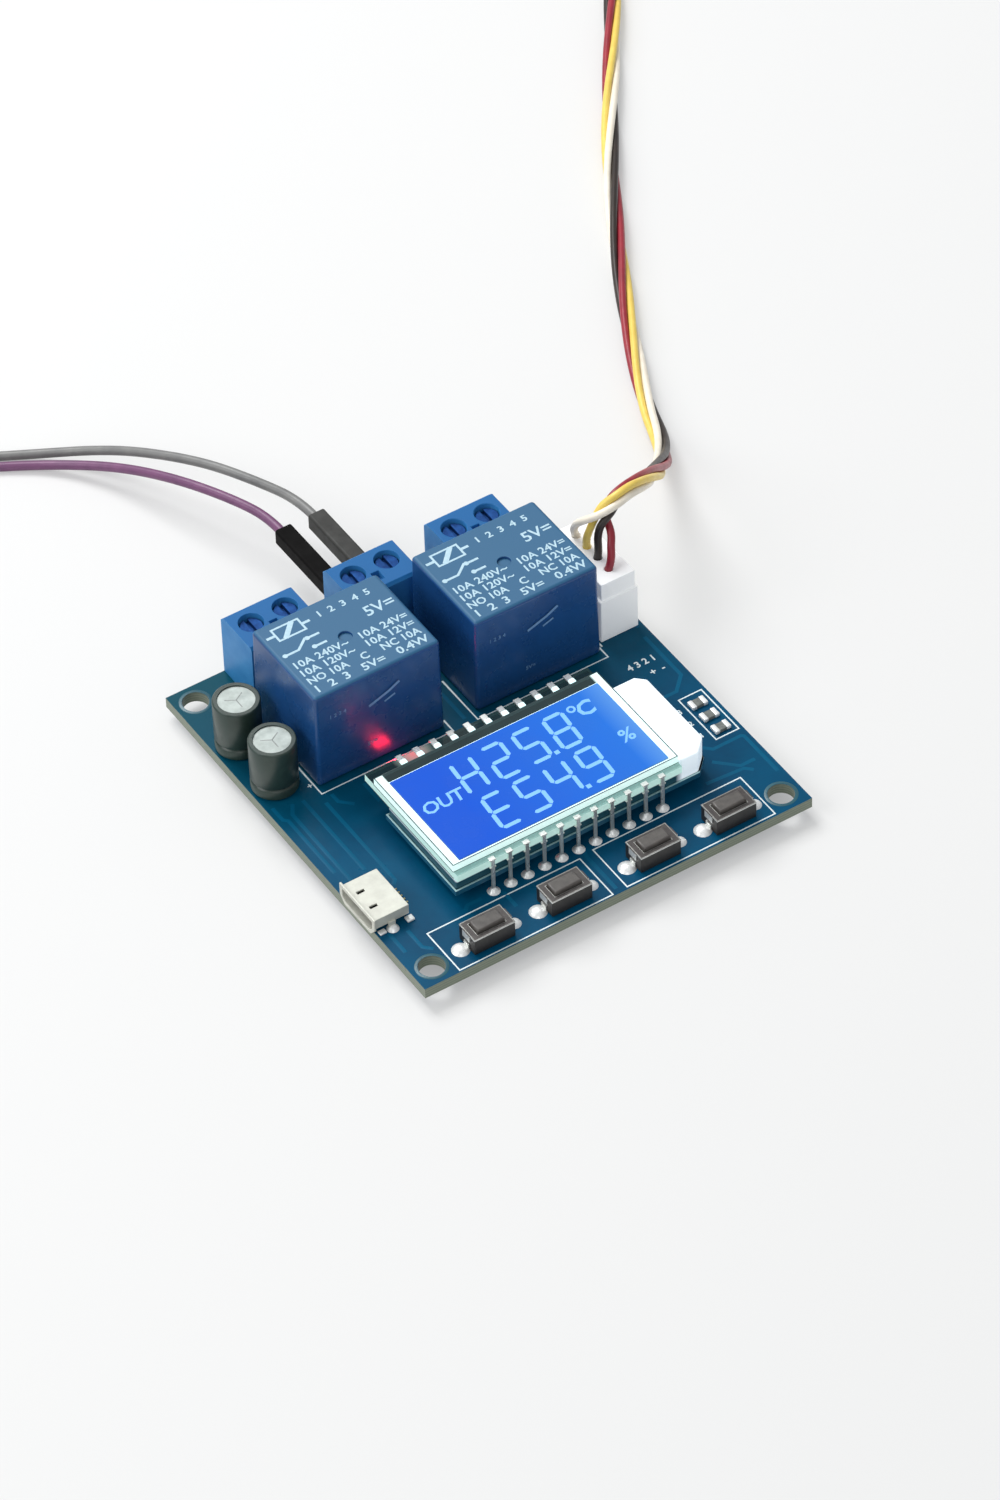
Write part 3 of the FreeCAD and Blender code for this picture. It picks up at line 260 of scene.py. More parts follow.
class Effects:
    """Node groups that several finishes share, each built once."""

    @staticmethod
    def _group(name: str, inputs: dict[str, object], outputs: dict[str, str]) -> tuple:
        """A new group and its two ends.

        Args:
            name: its name.
            inputs: the sockets that it takes, with their values.
            outputs: the sockets that it puts out, with their kinds.

        Returns:
            Its nodes to add to, its node of inputs and its node of outputs.
        """
        tree = bpy.data.node_groups.new(name, "ShaderNodeTree")
        for label, default in inputs.items():
            kind = "NodeSocketColor" if isinstance(default, tuple) else "NodeSocketFloat"
            socket = tree.interface.new_socket(label, in_out="INPUT", socket_type=kind)
            socket.default_value = default
        for label, kind in outputs.items():
            tree.interface.new_socket(label, in_out="OUTPUT", socket_type=kind)
        nodes = Nodes(tree)
        return nodes, nodes.add("NodeGroupInput"), nodes.add("NodeGroupOutput")

    @classmethod
    @cache
    def mottle(cls) -> bpy.types.NodeTree:
        """Soft patches of a second colour, and a roughness that goes with them.

        Returns:
            The group.
        """
        nodes, source, result = cls._group(
            "mottle", {"Color": tone(128, 128, 128), "Second": tone(110, 110, 110), "Scale": 200.0,
                       "Rough": 0.4, "Spread": 0.1},
            {"Color": "NodeSocketColor", "Roughness": "NodeSocketFloat"})
        broad = nodes.add("TexNoise", _Detail=4.0, _Roughness=0.6)
        nodes.link(nodes.place(), broad.inputs["Vector"])
        nodes.link(source.outputs["Scale"], broad.inputs["Scale"])
        mask = nodes.span(broad.outputs["Fac"], 0.3, 0.7)
        patches = nodes.blend(mask, source.outputs["Color"], source.outputs["Second"])
        nodes.link(patches, result.inputs["Color"])
        share = nodes.add("Math", operation="MULTIPLY_ADD")
        for slot, value in enumerate((mask, source.outputs["Spread"], source.outputs["Rough"])):
            nodes.link(value, share.inputs[slot])
        nodes.link(share.outputs[0], result.inputs["Roughness"])
        return nodes.tree

    @classmethod
    @cache
    def grain(cls) -> bpy.types.NodeTree:
        """Height of a fine moulded or brushed surface, drawn out along one axis.

        Returns:
            The group.
        """
        nodes, source, result = cls._group("grain", {"Scale": 3000.0, "Along": 1.0},
                                           {"Height": "NodeSocketFloat"})
        stretch = nodes.add("CombineXYZ", _Y=1.0, _Z=1.0)
        nodes.link(source.outputs["Along"], stretch.inputs["X"])
        scaled = nodes.add("VectorMath", operation="MULTIPLY")
        nodes.link(nodes.place(), scaled.inputs[0])
        nodes.link(stretch.outputs[0], scaled.inputs[1])
        fine = nodes.add("TexNoise", _Detail=2.0)
        nodes.link(scaled.outputs[0], fine.inputs["Vector"])
        nodes.link(source.outputs["Scale"], fine.inputs["Scale"])
        nodes.link(fine.outputs["Fac"], result.inputs["Height"])
        return nodes.tree


@dataclass(frozen=True)
class Finish:
    """A moulded, metal or glass finish: two close colours in patches, and a fine grain.

    Lengths of patches and grain are mm on the real thing.
    """

    name: str
    color: tuple[int, int, int]
    second: tuple[int, int, int]
    patch: float = 4.0
    rough: float = 0.4
    spread: float = 0.1
    metal: float = 0.0
    grain: float = 0.25
    depth: float = 0.004
    along: float = 1.0
    relief: float = 0.6
    clear: float = 0.0
    bend: float = 1.5
    gloss: float = 0.5
    glow: tuple[int, int, int] = (0, 0, 0)
    power: float = 0.0

    def shade(self, nodes: Nodes, color: bpy.types.NodeSocket) -> bpy.types.NodeSocket:
        """The base colour's output, from the mottled colour's."""
        return color

    def polish(self, nodes: Nodes, roughness: bpy.types.NodeSocket) -> bpy.types.NodeSocket:
        """The roughness' output, from the mottled roughness'."""
        return roughness

    def light(self, nodes: Nodes, surface: bpy.types.Node) -> None:
        """Sets what the finish gives out by itself."""
        surface.inputs["Emission Color"].default_value = tone(*self.glow)
        surface.inputs["Emission Strength"].default_value = self.power

    def material(self) -> bpy.types.Material:
        """The finish as a material, made the first time that it is asked for.

        Returns:
            The material.
        """
        known = bpy.data.materials.get(self.name)
        if known is not None:
            return known
        made, nodes = Nodes.of_material(self.name)
        surface = nodes.add("BsdfPrincipled", _Metallic=self.metal, _IOR=self.bend,
                            _Transmission_Weight=self.clear, _Specular_IOR_Level=self.gloss)
        nodes.show(surface)
        mottle = nodes.add("Group", node_tree=Effects.mottle(), _Color=tone(*self.color),
                           _Second=tone(*self.second), _Scale=1 / (self.patch * MM), _Rough=self.rough,
                           _Spread=self.spread)
        nodes.link(self.shade(nodes, mottle.outputs["Color"]), surface.inputs["Base Color"])
        nodes.link(self.polish(nodes, mottle.outputs["Roughness"]), surface.inputs["Roughness"])
        grain = nodes.add("Group", node_tree=Effects.grain(), _Scale=1 / (self.grain * MM),
                          _Along=self.along)
        bump = nodes.add("Bump", _Strength=self.relief, _Distance=self.depth * MM)
        nodes.link(grain.outputs["Height"], bump.inputs["Height"])
        nodes.link(bump.outputs["Normal"], surface.inputs["Normal"])
        self.light(nodes, surface)
        return made


@dataclass(frozen=True)
class BoardFinish(Finish):
    """Solder mask on both faces over a woven glass core that shows at the cut edges."""

    core: tuple[int, int, int] = (136, 142, 128)
    weave: tuple[int, int, int] = (116, 126, 112)
    layer: float = 1.3
    corner: tuple[int, int, int] = (6, 72, 84)
    greener: tuple[float, float] = (24.0, 66.0)

    def shade(self, nodes: Nodes, color: bpy.types.NodeSocket) -> bpy.types.NodeSocket:
        """Turns the mask greener towards the back, and shows the core where a face stands upright.

        Args:
            nodes: the material's nodes.
            color: the output of the mask's colour.

        Returns:
            The output that gives the base colour.
        """
        mask = nodes.blend(nodes.ramp("Y", *self.greener), color, tone(*self.corner))
        layers = nodes.add("TexWave", bands_direction="Z", _Scale=1 / (self.layer * MM), _Distortion=1.5)
        nodes.link(nodes.place(), layers.inputs["Vector"])
        core = nodes.blend(layers.outputs["Fac"], tone(*self.core), tone(*self.weave))
        return nodes.blend(nodes.steepness(), mask, core)


@dataclass(frozen=True)
class StripedFinish(Finish):
    """A capacitor's sleeve, with a pale stripe down its left side to mark its negative lead."""

    stripe: tuple[int, int, int] = (38, 56, 50)
    side: tuple[float, float] = (0.95, 0.85)

    def shade(self, nodes: Nodes, color: bpy.types.NodeSocket) -> bpy.types.NodeSocket:
        """Paints the stripe where the sleeve faces left."""
        return nodes.blend(nodes.ramp("X", *self.side), color, tone(*self.stripe))


@dataclass(frozen=True)
class PaintedTopFinish(Finish):
    """A moulding whose level top takes a painted tone, lighter or darker than its sides as the light falls,
    and is duller than its polished sides.
    """

    # The level top's painted tone, standing for the light that falls on it.
    painted_top_tone: tuple[int, int, int] = (90, 130, 160)
    dull: float = 0.55

    def shade(self, nodes: Nodes, color: bpy.types.NodeSocket) -> bpy.types.NodeSocket:
        """Lets level faces take the painted top tone, which stands for how the light falls on them."""
        return nodes.blend(nodes.steepness(), tone(*self.painted_top_tone), color)

    def polish(self, nodes: Nodes, roughness: bpy.types.NodeSocket) -> bpy.types.NodeSocket:
        """Makes level faces duller than upright ones.

        Args:
            nodes: the material's nodes.
            roughness: the output of the mottled roughness.

        Returns:
            The output that gives the roughness.
        """
        mix = nodes.add("Mix", data_type="FLOAT", _A=self.dull)
        nodes.link(nodes.steepness(), mix.inputs[0])
        nodes.link(roughness, mix.inputs[3])
        return mix.outputs[0]


@dataclass(frozen=True)
class ShiningFinish(Finish):
    """A clear or pale piece that gives out its light in some places only."""

    def shining(self, nodes: Nodes) -> bpy.types.NodeSocket:
        """The output that says where it shines, from 0 to 1: at its upright faces."""
        return nodes.steepness()

    def light(self, nodes: Nodes, surface: bpy.types.Node) -> None:
        """Lets light out where the piece shines.

        Args:
            nodes: the material's nodes.
            surface: the principled shader.
        """
        surface.inputs["Emission Color"].default_value = tone(*self.glow)
        strength = nodes.span(self.shining(nodes), 0.0, 1.0, 0.0, self.power)
        nodes.link(strength, surface.inputs["Emission Strength"])


@dataclass(frozen=True)
class EdgedFinish(ShiningFinish):
    """A sheet whose upright faces take a painted tone, which is painted highlight on some finishes and
    painted shade on others, and carry its glow where it has one.
    """

    # Painted tone of the upright faces.
    edge: tuple[int, int, int] = (200, 200, 200)

    def shade(self, nodes: Nodes, color: bpy.types.NodeSocket) -> bpy.types.NodeSocket:
        """Lets the shining places take the edge's painted tone."""
        return nodes.blend(self.shining(nodes), color, tone(*self.edge))


@dataclass(frozen=True)
class LedgeFinish(EdgedFinish):
    """The lower pane: its front ledge catches the lamp's light, its back ledge is darkened with painted
    shade.

    A small lamp behind it throws a spot of red light on the back ledge.
    """

    # Painted shade of the back ledge.
    gap: tuple[int, int, int] = (34, 52, 54)
    painted_shade_from: tuple[float, float] = (18.0, 22.0)
    spot: tuple[float, float, float] = (17.9, 30.4, 5.5)
    spot_reach: tuple[float, float] = (0.1, 3.0)
    spot_glow: tuple[int, int, int] = (255, 104, 116)
    spot_power: float = 0.85

    def shade(self, nodes: Nodes, color: bpy.types.NodeSocket) -> bpy.types.NodeSocket:
        """Darkens the pane towards its back with painted shade, and lets its edges take their painted light.
        """
        return super().shade(nodes, nodes.blend(nodes.ramp("Y", *self.painted_shade_from), color, tone(*self.gap)))

    def light(self, nodes: Nodes, surface: bpy.types.Node) -> None:
        """Lets light out at the edges, and red light where the small lamp shines through.

        Args:
            nodes: the material's nodes.
            surface: the principled shader.
        """
        away = nodes.add("VectorMath", operation="DISTANCE")
        away.inputs[1].default_value = at(*self.spot)
        nodes.link(nodes.place(), away.inputs[0])
        start, end = (reach * MM for reach in self.spot_reach)
        near = nodes.span(away.outputs["Value"], start, end, self.spot_power, 0.0)
        glow = nodes.blend(near, tone(*self.glow), tone(*self.spot_glow))
        nodes.link(glow, surface.inputs["Emission Color"])
        edge = nodes.span(self.shining(nodes), 0.0, 1.0, 0.0, self.power)
        nodes.link(nodes.most(edge, near), surface.inputs["Emission Strength"])


@dataclass(frozen=True)
class MarginFinish(EdgedFinish):
    """The upper pane: its cut edges and its margins beside the lit field shine, but not its back one."""

    left: tuple[float, float] = (12.2, 12.08)
    right: tuple[float, float] = (43.3, 43.6)
    front: tuple[float, float] = (10.7, 10.58)
    front_share: float = 0.7

    def shining(self, nodes: Nodes) -> bpy.types.NodeSocket:
        """The output that says where the pane shines, from 0 to 1."""
        return nodes.most(nodes.steepness(), nodes.ramp("X", *self.left), nodes.ramp("X", *self.right),
                          nodes.ramp("Y", *self.front, 0.0, self.front_share))


@dataclass(frozen=True)
class GuideFinish(ShiningFinish):
    """A clear block that shines at its thick lamp end and along its upper rim, and takes painted shade
    elsewhere.
    """

    painted_shade_tone: tuple[int, int, int] = (30, 84, 100)
    lamp_end: tuple[float, float] = (44.2, 45.2)
    rim: tuple[float, float] = (3.3, 3.7)
    rim_share: float = 0.85

    def shining(self, nodes: Nodes) -> bpy.types.NodeSocket:
        """The output that says where the block shines, from 0 to 1."""
        return nodes.most(nodes.ramp("X", *self.lamp_end), nodes.ramp("Z", *self.rim, 0.0, self.rim_share))

    def shade(self, nodes: Nodes, color: bpy.types.NodeSocket) -> bpy.types.NodeSocket:
        """Gives the thin part's lower half a dark painted shade, standing for the shaded board under the
        display.
        """
        return nodes.blend(self.shining(nodes), tone(*self.painted_shade_tone), color)


@dataclass(frozen=True)
class LitFilm(Finish):
    """The display's blue field, lit from its right end."""

    near: tuple[int, int, int] = (44, 126, 206)
    rise: tuple[float, float] = (18.0, 44.0)
    bleed: tuple[int, int, int] = (140, 200, 232)
    bleed_from: tuple[float, float] = (40.2, 43.6)
    bleed_share: float = 0.42

    def light(self, nodes: Nodes, surface: bpy.types.Node) -> None:
        """Lets the blue grow brighter and paler towards the lamp at the right.

        Args:
            nodes: the material's nodes.
            surface: the principled shader.
        """
        field = nodes.blend(nodes.ramp("X", *self.rise), tone(*self.glow), tone(*self.near))
        end = nodes.ramp("X", *self.bleed_from, 0.0, self.bleed_share)
        nodes.link(nodes.blend(end, field, tone(*self.bleed)), surface.inputs["Emission Color"])
        surface.inputs["Emission Strength"].default_value = self.power


@dataclass(frozen=True)
class CameraPale(Finish):
    """The pale table: the camera sees it light, and it throws back less light on the module."""

    share: float = 0.5

    def material(self) -> bpy.types.Material:
        """The table's material.

        Returns:
            A plain matt surface, mixed for the camera and in reflections with its own even light.
        """
        made, nodes = Nodes.of_material(self.name)
        matt = nodes.add("BsdfDiffuse", _Color=tone(*self.color))
        even = nodes.add("Emission", _Color=tone(*self.second), _Strength=1.0)
        rays = nodes.add("LightPath")
        seen = nodes.most(*(rays.outputs[f"Is {kind} Ray"] for kind in ("Camera", "Glossy", "Transmission")))
        mix = nodes.add("MixShader")
        nodes.link(nodes.span(seen, 0.0, 1.0, 0.0, self.share), mix.inputs[0])
        nodes.link(matt.outputs[0], mix.inputs[1])
        nodes.link(even.outputs[0], mix.inputs[2])
        nodes.show(mix)
        return made


MASK = BoardFinish("board_mask", (2, 80, 114), (0, 64, 96), patch=9, rough=0.26, grain=0.9, gloss=0.1)
TRACE = Finish("mask_over_copper", (6, 90, 124), (4, 82, 114), patch=7, rough=0.26, grain=0.9, gloss=0.1)
RIM = Finish("hole_rim", (40, 92, 104), (30, 78, 92), patch=2, rough=0.3)
PRINT = Finish("white_print", (232, 240, 240), (214, 226, 228), patch=0.6, rough=0.55, grain=0.08)
RELAY_PRINT = Finish("relay_print", (186, 214, 226), (166, 198, 214), patch=0.5, rough=0.6, grain=0.08)
SIDE_PRINT = Finish("side_print", (118, 156, 196), (102, 142, 184), patch=0.5, rough=0.6, grain=0.08)
SOLDER = Finish("solder", (252, 252, 250), (232, 234, 234), patch=0.5, rough=0.24, spread=0.16,
                metal=0.35, grain=0.5, depth=0.01)
TIN = Finish("tinned_metal", (236, 238, 234), (206, 208, 204), patch=0.9, rough=0.24, spread=0.14,
             metal=0.7, grain=0.2, along=0.15)
SHELL = Finish("socket_shell", (206, 207, 196), (190, 190, 180), patch=1.6, rough=0.36, spread=0.12,
               metal=0.2, grain=0.12, along=0.1)
# The screws' navy tint is painted reflection of the blue walls round them and painted shade of their wells.
STEEL = Finish("screw_steel", (18, 72, 134), (12, 54, 110), patch=0.7, rough=0.46, spread=0.18, metal=0.7,
               grain=0.15, along=0.2)
BRASS = Finish("nickelled_brass", (190, 176, 140), (160, 146, 112), patch=1.0, rough=0.3, metal=1.0)
# The relay's paler top is painted light from above.
RELAY = PaintedTopFinish("relay_case", (30, 76, 132), (23, 66, 118), patch=6, rough=0.22, grain=0.35,
                    depth=0.003, painted_top_tone=(34, 92, 130))
RELAY_BASE = Finish("relay_base", (16, 52, 108), (12, 42, 92), patch=4, rough=0.5)
# The terminal's darker top is painted shade beside its brightly lit sides.
TERMINAL = PaintedTopFinish("terminal_case", (58, 136, 194), (48, 122, 182), patch=4, rough=0.42, spread=0.12,
                       grain=0.3, depth=0.005, painted_top_tone=(10, 94, 154), gloss=0.3)
CAN = Finish("can_aluminium", (172, 180, 176), (152, 160, 156), patch=1.2, rough=0.42, spread=0.14, metal=0.5,
             grain=0.1, along=0.1)
# The score's darker strip is partly the real pressed line and partly painted shade of its groove.
SCORE_AND_GROOVE_SHADE = Finish("score_and_painted_groove_shade", (142, 146, 144), (120, 124, 122), patch=0.5, rough=0.5, metal=0.6)
SLEEVE = StripedFinish("can_sleeve", (44, 61, 54), (35, 50, 44), patch=2, rough=0.3)
BLACK = Finish("black_plastic", (44, 42, 40), (32, 30, 30), patch=1.5, rough=0.42, grain=0.15, depth=0.006)
BUTTON = Finish("button_plastic", (84, 80, 76), (66, 62, 60), patch=1.0, rough=0.40, grain=0.12, depth=0.005)
# The cover's pale upright faces are a painted highlight.
COVER = EdgedFinish("dark_nickel_cover", (78, 74, 72), (58, 54, 54), patch=0.8, rough=0.34, spread=0.12,
                    metal=0.4, grain=0.12, along=0.2, edge=(206, 208, 206))
GLASS = MarginFinish("upper_pane", (40, 60, 62), (32, 50, 52), patch=6, rough=0.05, spread=0.03, clear=0.2,
                     depth=0.001, edge=(214, 236, 232), glow=(214, 242, 240), power=0.62)
LOWER_GLASS = LedgeFinish("lower_pane", (168, 206, 198), (150, 192, 186), patch=6, rough=0.06, spread=0.03,
                          clear=0.2, depth=0.001, edge=(196, 222, 216), glow=(190, 232, 222), power=0.45)
FILM = LitFilm("display_field", (12, 40, 130), (10, 34, 120), patch=5, rough=0.2, gloss=0.12,
               glow=(26, 90, 196), power=0.90, depth=0.001)
DIGIT = Finish("display_segments", (104, 154, 214), (94, 144, 206), patch=1.4, rough=0.3,
               glow=(104, 164, 228), power=0.70)
GUIDE = GuideFinish("light_guide", (220, 228, 232), (206, 220, 226), patch=3, rough=0.3,
                    glow=(220, 232, 242), power=0.54)
# The tray's dark upright sides are painted shade under the display.
TRAY = EdgedFinish("reflector_tray", (190, 226, 226), (170, 210, 212), patch=3, edge=(24, 92, 122))
SEAL = Finish("pane_seal", (40, 62, 64), (30, 50, 54), patch=1.0, rough=0.5)
GLINT = Finish("pane_glint", (220, 244, 244), (206, 236, 238), patch=1.0, rough=0.3,
               glow=(206, 240, 246), power=0.8)
# The plastic's faint glow is painted light that brightens it where it is in shade.
NYLON_PAINTED_GLOW = Finish("white_nylon_painted_glow", (252, 252, 252), (244, 244, 244), patch=3, grain=0.3, depth=0.005,
               glow=(244, 248, 252), power=0.13)
PROBE = Finish("probe_case", (240, 240, 236), (228, 228, 222), patch=5, rough=0.45, grain=0.25, depth=0.008)
PURPLE = Finish("purple_insulation", (118, 72, 110), (100, 60, 96), patch=2.5, rough=0.38, grain=0.2)
GREY = Finish("grey_insulation", (126, 126, 124), (108, 108, 108), patch=2.5, rough=0.38, grain=0.2)
WIRES = {
    "red": Finish("red_insulation", (158, 40, 54), (136, 28, 44), patch=2, rough=0.34, grain=0.2),
    "black": Finish("black_insulation", (48, 36, 30), (34, 26, 24), patch=2, rough=0.34, grain=0.2),
    "yellow": Finish("yellow_insulation", (238, 210, 104), (226, 194, 88), patch=2, rough=0.32, grain=0.2),
    "white": Finish("white_insulation", (246, 238, 222), (232, 222, 204), patch=2, rough=0.32, grain=0.2),
}
HOUSING_BLACK = Finish("black_housing", (14, 13, 13), (9, 8, 8), patch=2, rough=0.6, depth=0.006,
                       gloss=0.08)
HOUSING_GREY = Finish("grey_housing", (62, 62, 60), (50, 50, 48), patch=2, rough=0.5, depth=0.006,
                      gloss=0.25)
LAMP = Finish("lamp_red", (255, 110, 120), (255, 90, 100), patch=0.4, rough=0.2, glow=(255, 34, 62),
              power=26.0)
CERAMIC = Finish("chip_body", (118, 122, 118), (90, 94, 92), patch=0.5, rough=0.5)
# Pale lines painted as highlights on the switch covers' edges.
COVER_HIGHLIGHT = Finish("cover_painted_highlight", (150, 150, 146), (126, 126, 122), patch=0.6, rough=0.35, metal=0.5)
TABLE = CameraPale("table", (224, 224, 223), (246, 246, 246), share=0.35)


# Places that more than one sub-assembly needs, in mm on the board


PITCH = 2.54
RELAYS = {1: 17.2, 2: 41.1}
TERMINALS = {"a": 13.9, "b": 29.3, "c": 44.7}
CAPACITORS = {1: 49.0, 2: 40.4}
BUTTONS = {1: 11.2, 2: 22.65, 3: 35.95, 4: 47.4}
CLIP_COLUMNS = tuple(16.1 + PITCH * number for number in range(11))
CLIP_ROWS = (9.2, 31.0)
HOLES = tuple((x, y) for x in (2.8, 55.2) for y in (2.8, 58.7))


# Pieces


class Piece:
    """One mesh in the making, and what it rides on."""

    def __init__(self, name: str) -> None:
        """Starts an empty mesh.

        Args:
            name: the finished piece's name.
        """
        self.name = name
        self.mesh = bmesh.new()
        self.softened = False

    def block(self, low: Point, high: Point, edge: float = 0.0, steps: int = 2) -> "Piece":
        """Adds a box with softened edges.

        Args:
            low: its lowest corner, in mm on the board.
            high: its highest corner.
            edge: width of its softened edges, in mm.
            steps: segments across an edge.

        Returns:
            The piece itself.
        """
        low, high = at(*low), at(*high)
        size = high - low
        place = Matrix.Translation((low + high) / 2) @ Matrix.Diagonal((*size, 1.0))
        made = bmesh.ops.create_cube(self.mesh, size=1.0, matrix=place)["verts"]
        if edge:
            self.bevel(list({e for v in made for e in v.link_edges}), edge, steps)
        return self

    def bevel(self, edges: Sequence[bmesh.types.BMEdge], width: float, steps: int) -> None:
        """Rounds edges over a width in mm, in a number of segments."""
        bmesh.ops.bevel(self.mesh, geom=edges, offset=width * MM, offset_type="OFFSET", segments=steps,
                        profile=0.5, affect="EDGES", clamp_overlap=True, material=-1)

    def turned(self, profile: Iterable[Point], centre: Point, steps: int = 20) -> "Piece":
        """Adds a shape turned round an upright axis.

        Args:
            profile: radius and height of its points in mm, from the axis or round a closed ring.
            centre: the axis' foot, in metres.
            steps: segments of the full turn.

        Returns:
            The piece itself.
        """
        centre = Vector(centre)
        before = set(self.mesh.verts)
        points = [self.mesh.verts.new(centre + Vector((radius, 0, height)) * MM)
                  for radius, height in profile]
        edges = [self.mesh.edges.new(pair) for pair in zip(points, points[1:])]
        bmesh.ops.spin(self.mesh, geom=points + edges, cent=centre, axis=(0, 0, 1), angle=math.tau,
                       steps=steps, use_merge=True, use_normal_flip=False)
        made = [v for v in self.mesh.verts if v not in before]
        bmesh.ops.remove_doubles(self.mesh, verts=made, dist=MERGE_LIMIT)
        return self

    def plate(self, outline: Iterable[Vector], rise: float) -> "Piece":
        """Adds a flat shape with a thickness.

        Args:
            outline: its corners in order, in metres.
            rise: its thickness upwards, in metres.

        Returns:
            The piece itself.
        """
        face = self.mesh.faces.new([self.mesh.verts.new(p) for p in outline])
        top = bmesh.ops.extrude_face_region(self.mesh, geom=[face])["geom"]
        moved = [v for v in top if isinstance(v, bmesh.types.BMVert)]
        bmesh.ops.translate(self.mesh, vec=(0, 0, rise), verts=moved)
        return self

    def take(self, item: bpy.types.Object) -> "Piece":
        """Adds an object's finished mesh at its place, and removes the object.

        Args:
            item: a text, curve or mesh object.

        Returns:
            The piece itself.
        """
        bpy.context.view_layer.update()
        mesh = bpy.data.meshes.new_from_object(item)
        mesh.transform(item.matrix_world)
        self.mesh.from_mesh(mesh)
        bpy.data.meshes.remove(mesh)
        bpy.data.objects.remove(item)
        return self

    def line(self, points: Iterable[Vector], width: float, closed: bool = False,
             rise: float = PRINT_RISE) -> "Piece":
        """Adds a flat printed line with mitred corners.

        Args:
            points: its corners, in metres.
            width: its width, in mm.
            closed: whether it runs back to its start.
            rise: half its thickness at the middle, in mm.

        Returns:
            The piece itself.
        """
        points = list(points)
        level = points[0].z
        curve = bpy.data.curves.new("line", "CURVE")
        curve.dimensions = "3D"
        curve.bevel_depth = width / 2 * MM
        curve.bevel_resolution = 0
        run = curve.splines.new("POLY")
        run.points.add(len(points) - 1)
        for spot, point in zip(run.points, points):
            spot.co = (point.x, point.y, 0.0, 1.0)
        run.use_cyclic_u = closed
        curve.use_fill_caps = not closed
        item = linked("line", curve)
        flat = Matrix.Diagonal((1, 1, 2 * rise / width, 1))
        item.matrix_world = Matrix.Translation((0, 0, level)) @ flat
        return self.take(item)

    def words(self, text: str, place: Vector, size: float, slant: float = 0.0, spacing: float = 1.0,
              weight: float = 0.0, wide: float = 0.0) -> "Piece":
        """Adds plain raised letters or numbers.

        Args:
            text: what they say.
            place: the middle of the text, in metres.
            size: height of a line, in mm.
            slant: how far it leans.
            spacing: the gaps between letters, 1 for the usual.
            weight: how much each stroke is widened, in mm.
            wide: the width in mm that the line is fitted to, or 0 to leave it.

        Returns:
            The piece itself.
        """
        curve = bpy.data.curves.new("words", "FONT")
        curve.body = text
        curve.size = 1.0
        curve.shear = slant
        curve.space_character = spacing
        curve.offset = weight / size
        curve.extrude = PRINT_RISE / size
        curve.resolution_u = 2
        curve.align_x, curve.align_y = "CENTER", "CENTER"
        item = linked("words", curve)
        bpy.context.view_layer.update()
        stretch = wide / size / item.dimensions.x if wide else 1.0
        scale = Matrix.Diagonal((size * stretch * MM, size * MM, size * MM, 1))
        item.matrix_world = Matrix.Translation(place) @ scale
        return self.take(item)

    def copy_of(self, node: str, edge: float, steps: int = 2, corner: float = 35.0) -> "Piece":
        """Adds a CAD node's shape, merged, with its sharp outer edges softened.

        Args:
            node: the node's name.
            edge: width of the softened edges, in mm.
            steps: segments across an edge.
            corner: the least angle, in degrees, that counts as sharp.

        Returns:
            The piece itself.
        """
        self.mesh.from_mesh(bpy.data.objects[node].data)
        bmesh.ops.remove_doubles(self.mesh, verts=self.mesh.verts, dist=2 * MERGE_LIMIT)
        bmesh.ops.dissolve_limit(self.mesh, angle_limit=math.radians(FLAT_ANGLE), verts=self.mesh.verts,
                                 edges=self.mesh.edges)
        sharp = [e for e in self.mesh.edges if len(e.link_faces) == 2 and e.is_convex
                 and e.calc_face_angle(0.0) > math.radians(corner)]
        self.bevel(sharp, edge, steps)
        self.softened = True
        return self

    def done(self, finish: Finish, body: str = Body.MODULE.value, replaces: Sequence[str] = (),
             slot: str = "", smooth: float = 40.0, outward: bool = True) -> bpy.types.Object:
        """Finishes the piece: its object, finish, body, and the nodes that it stands for.

        Args:
            finish: what it is finished in.
            body: the CAD body that it rides on.
            replaces: the CAD nodes that it replaces.
            slot: not used.
            smooth: the angle in degrees above which an edge stays sharp.
            outward: whether to work out which way its faces point.

        Returns:
            The object.
        """
        if outward:
            bmesh.ops.recalc_face_normals(self.mesh, faces=self.mesh.faces)
        mesh = bpy.data.meshes.new(self.name)
        self.mesh.to_mesh(mesh)
        self.mesh.free()
        mesh.shade_smooth()
        mesh.set_sharp_from_angle(angle=math.radians(smooth))
        mesh.materials.append(finish.material())
        item = linked(self.name, mesh)
        if self.softened:
            flat = item.modifiers.new("flat_faces", "WEIGHTED_NORMAL")
            flat.keep_sharp = True
            flat.weight = 90
        return settle(item, body, replaces)


def settle(item: bpy.types.Object, body: str, replaces: Sequence[str] = ()) -> bpy.types.Object:
    """Lets a piece ride on its body and stand for its nodes.

    Args:
        item: the piece.
        body: the CAD body's name.
        replaces: nodes that it replaces.

    Returns:
        The piece.
    """
    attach(item, body)
    if replaces:
        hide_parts(*replaces)
    log.info("%s rides on %s", item.name, body)
    return item


def soften(name: str, node: str, finish: Finish, edge: float, slot: str = "", steps: int = 2,
           corner: float = 35.0, body: str = Body.MODULE.value) -> bpy.types.Object:
    """Replaces a CAD node by its own shape with softened edges."""
    return Piece(name).copy_of(node, edge, steps, corner).done(finish, body, [node], slot)


def solder(name: str, section: Sequence[Point], places: Iterable[Vector], steps: int = 14) -> None:
    """Puts a rounded joint at each of several places.

    Args:
        name: the piece that they make together.
        section: radius and height of a joint's outline, in mm.
        places: where the joints sit, in metres.
        steps: segments of a joint's full turn.
    """
    piece = Piece(name)
    for place in places:
        piece.turned(section, place, steps)
    piece.done(SOLDER, slot="tin", smooth=70, outward=False)


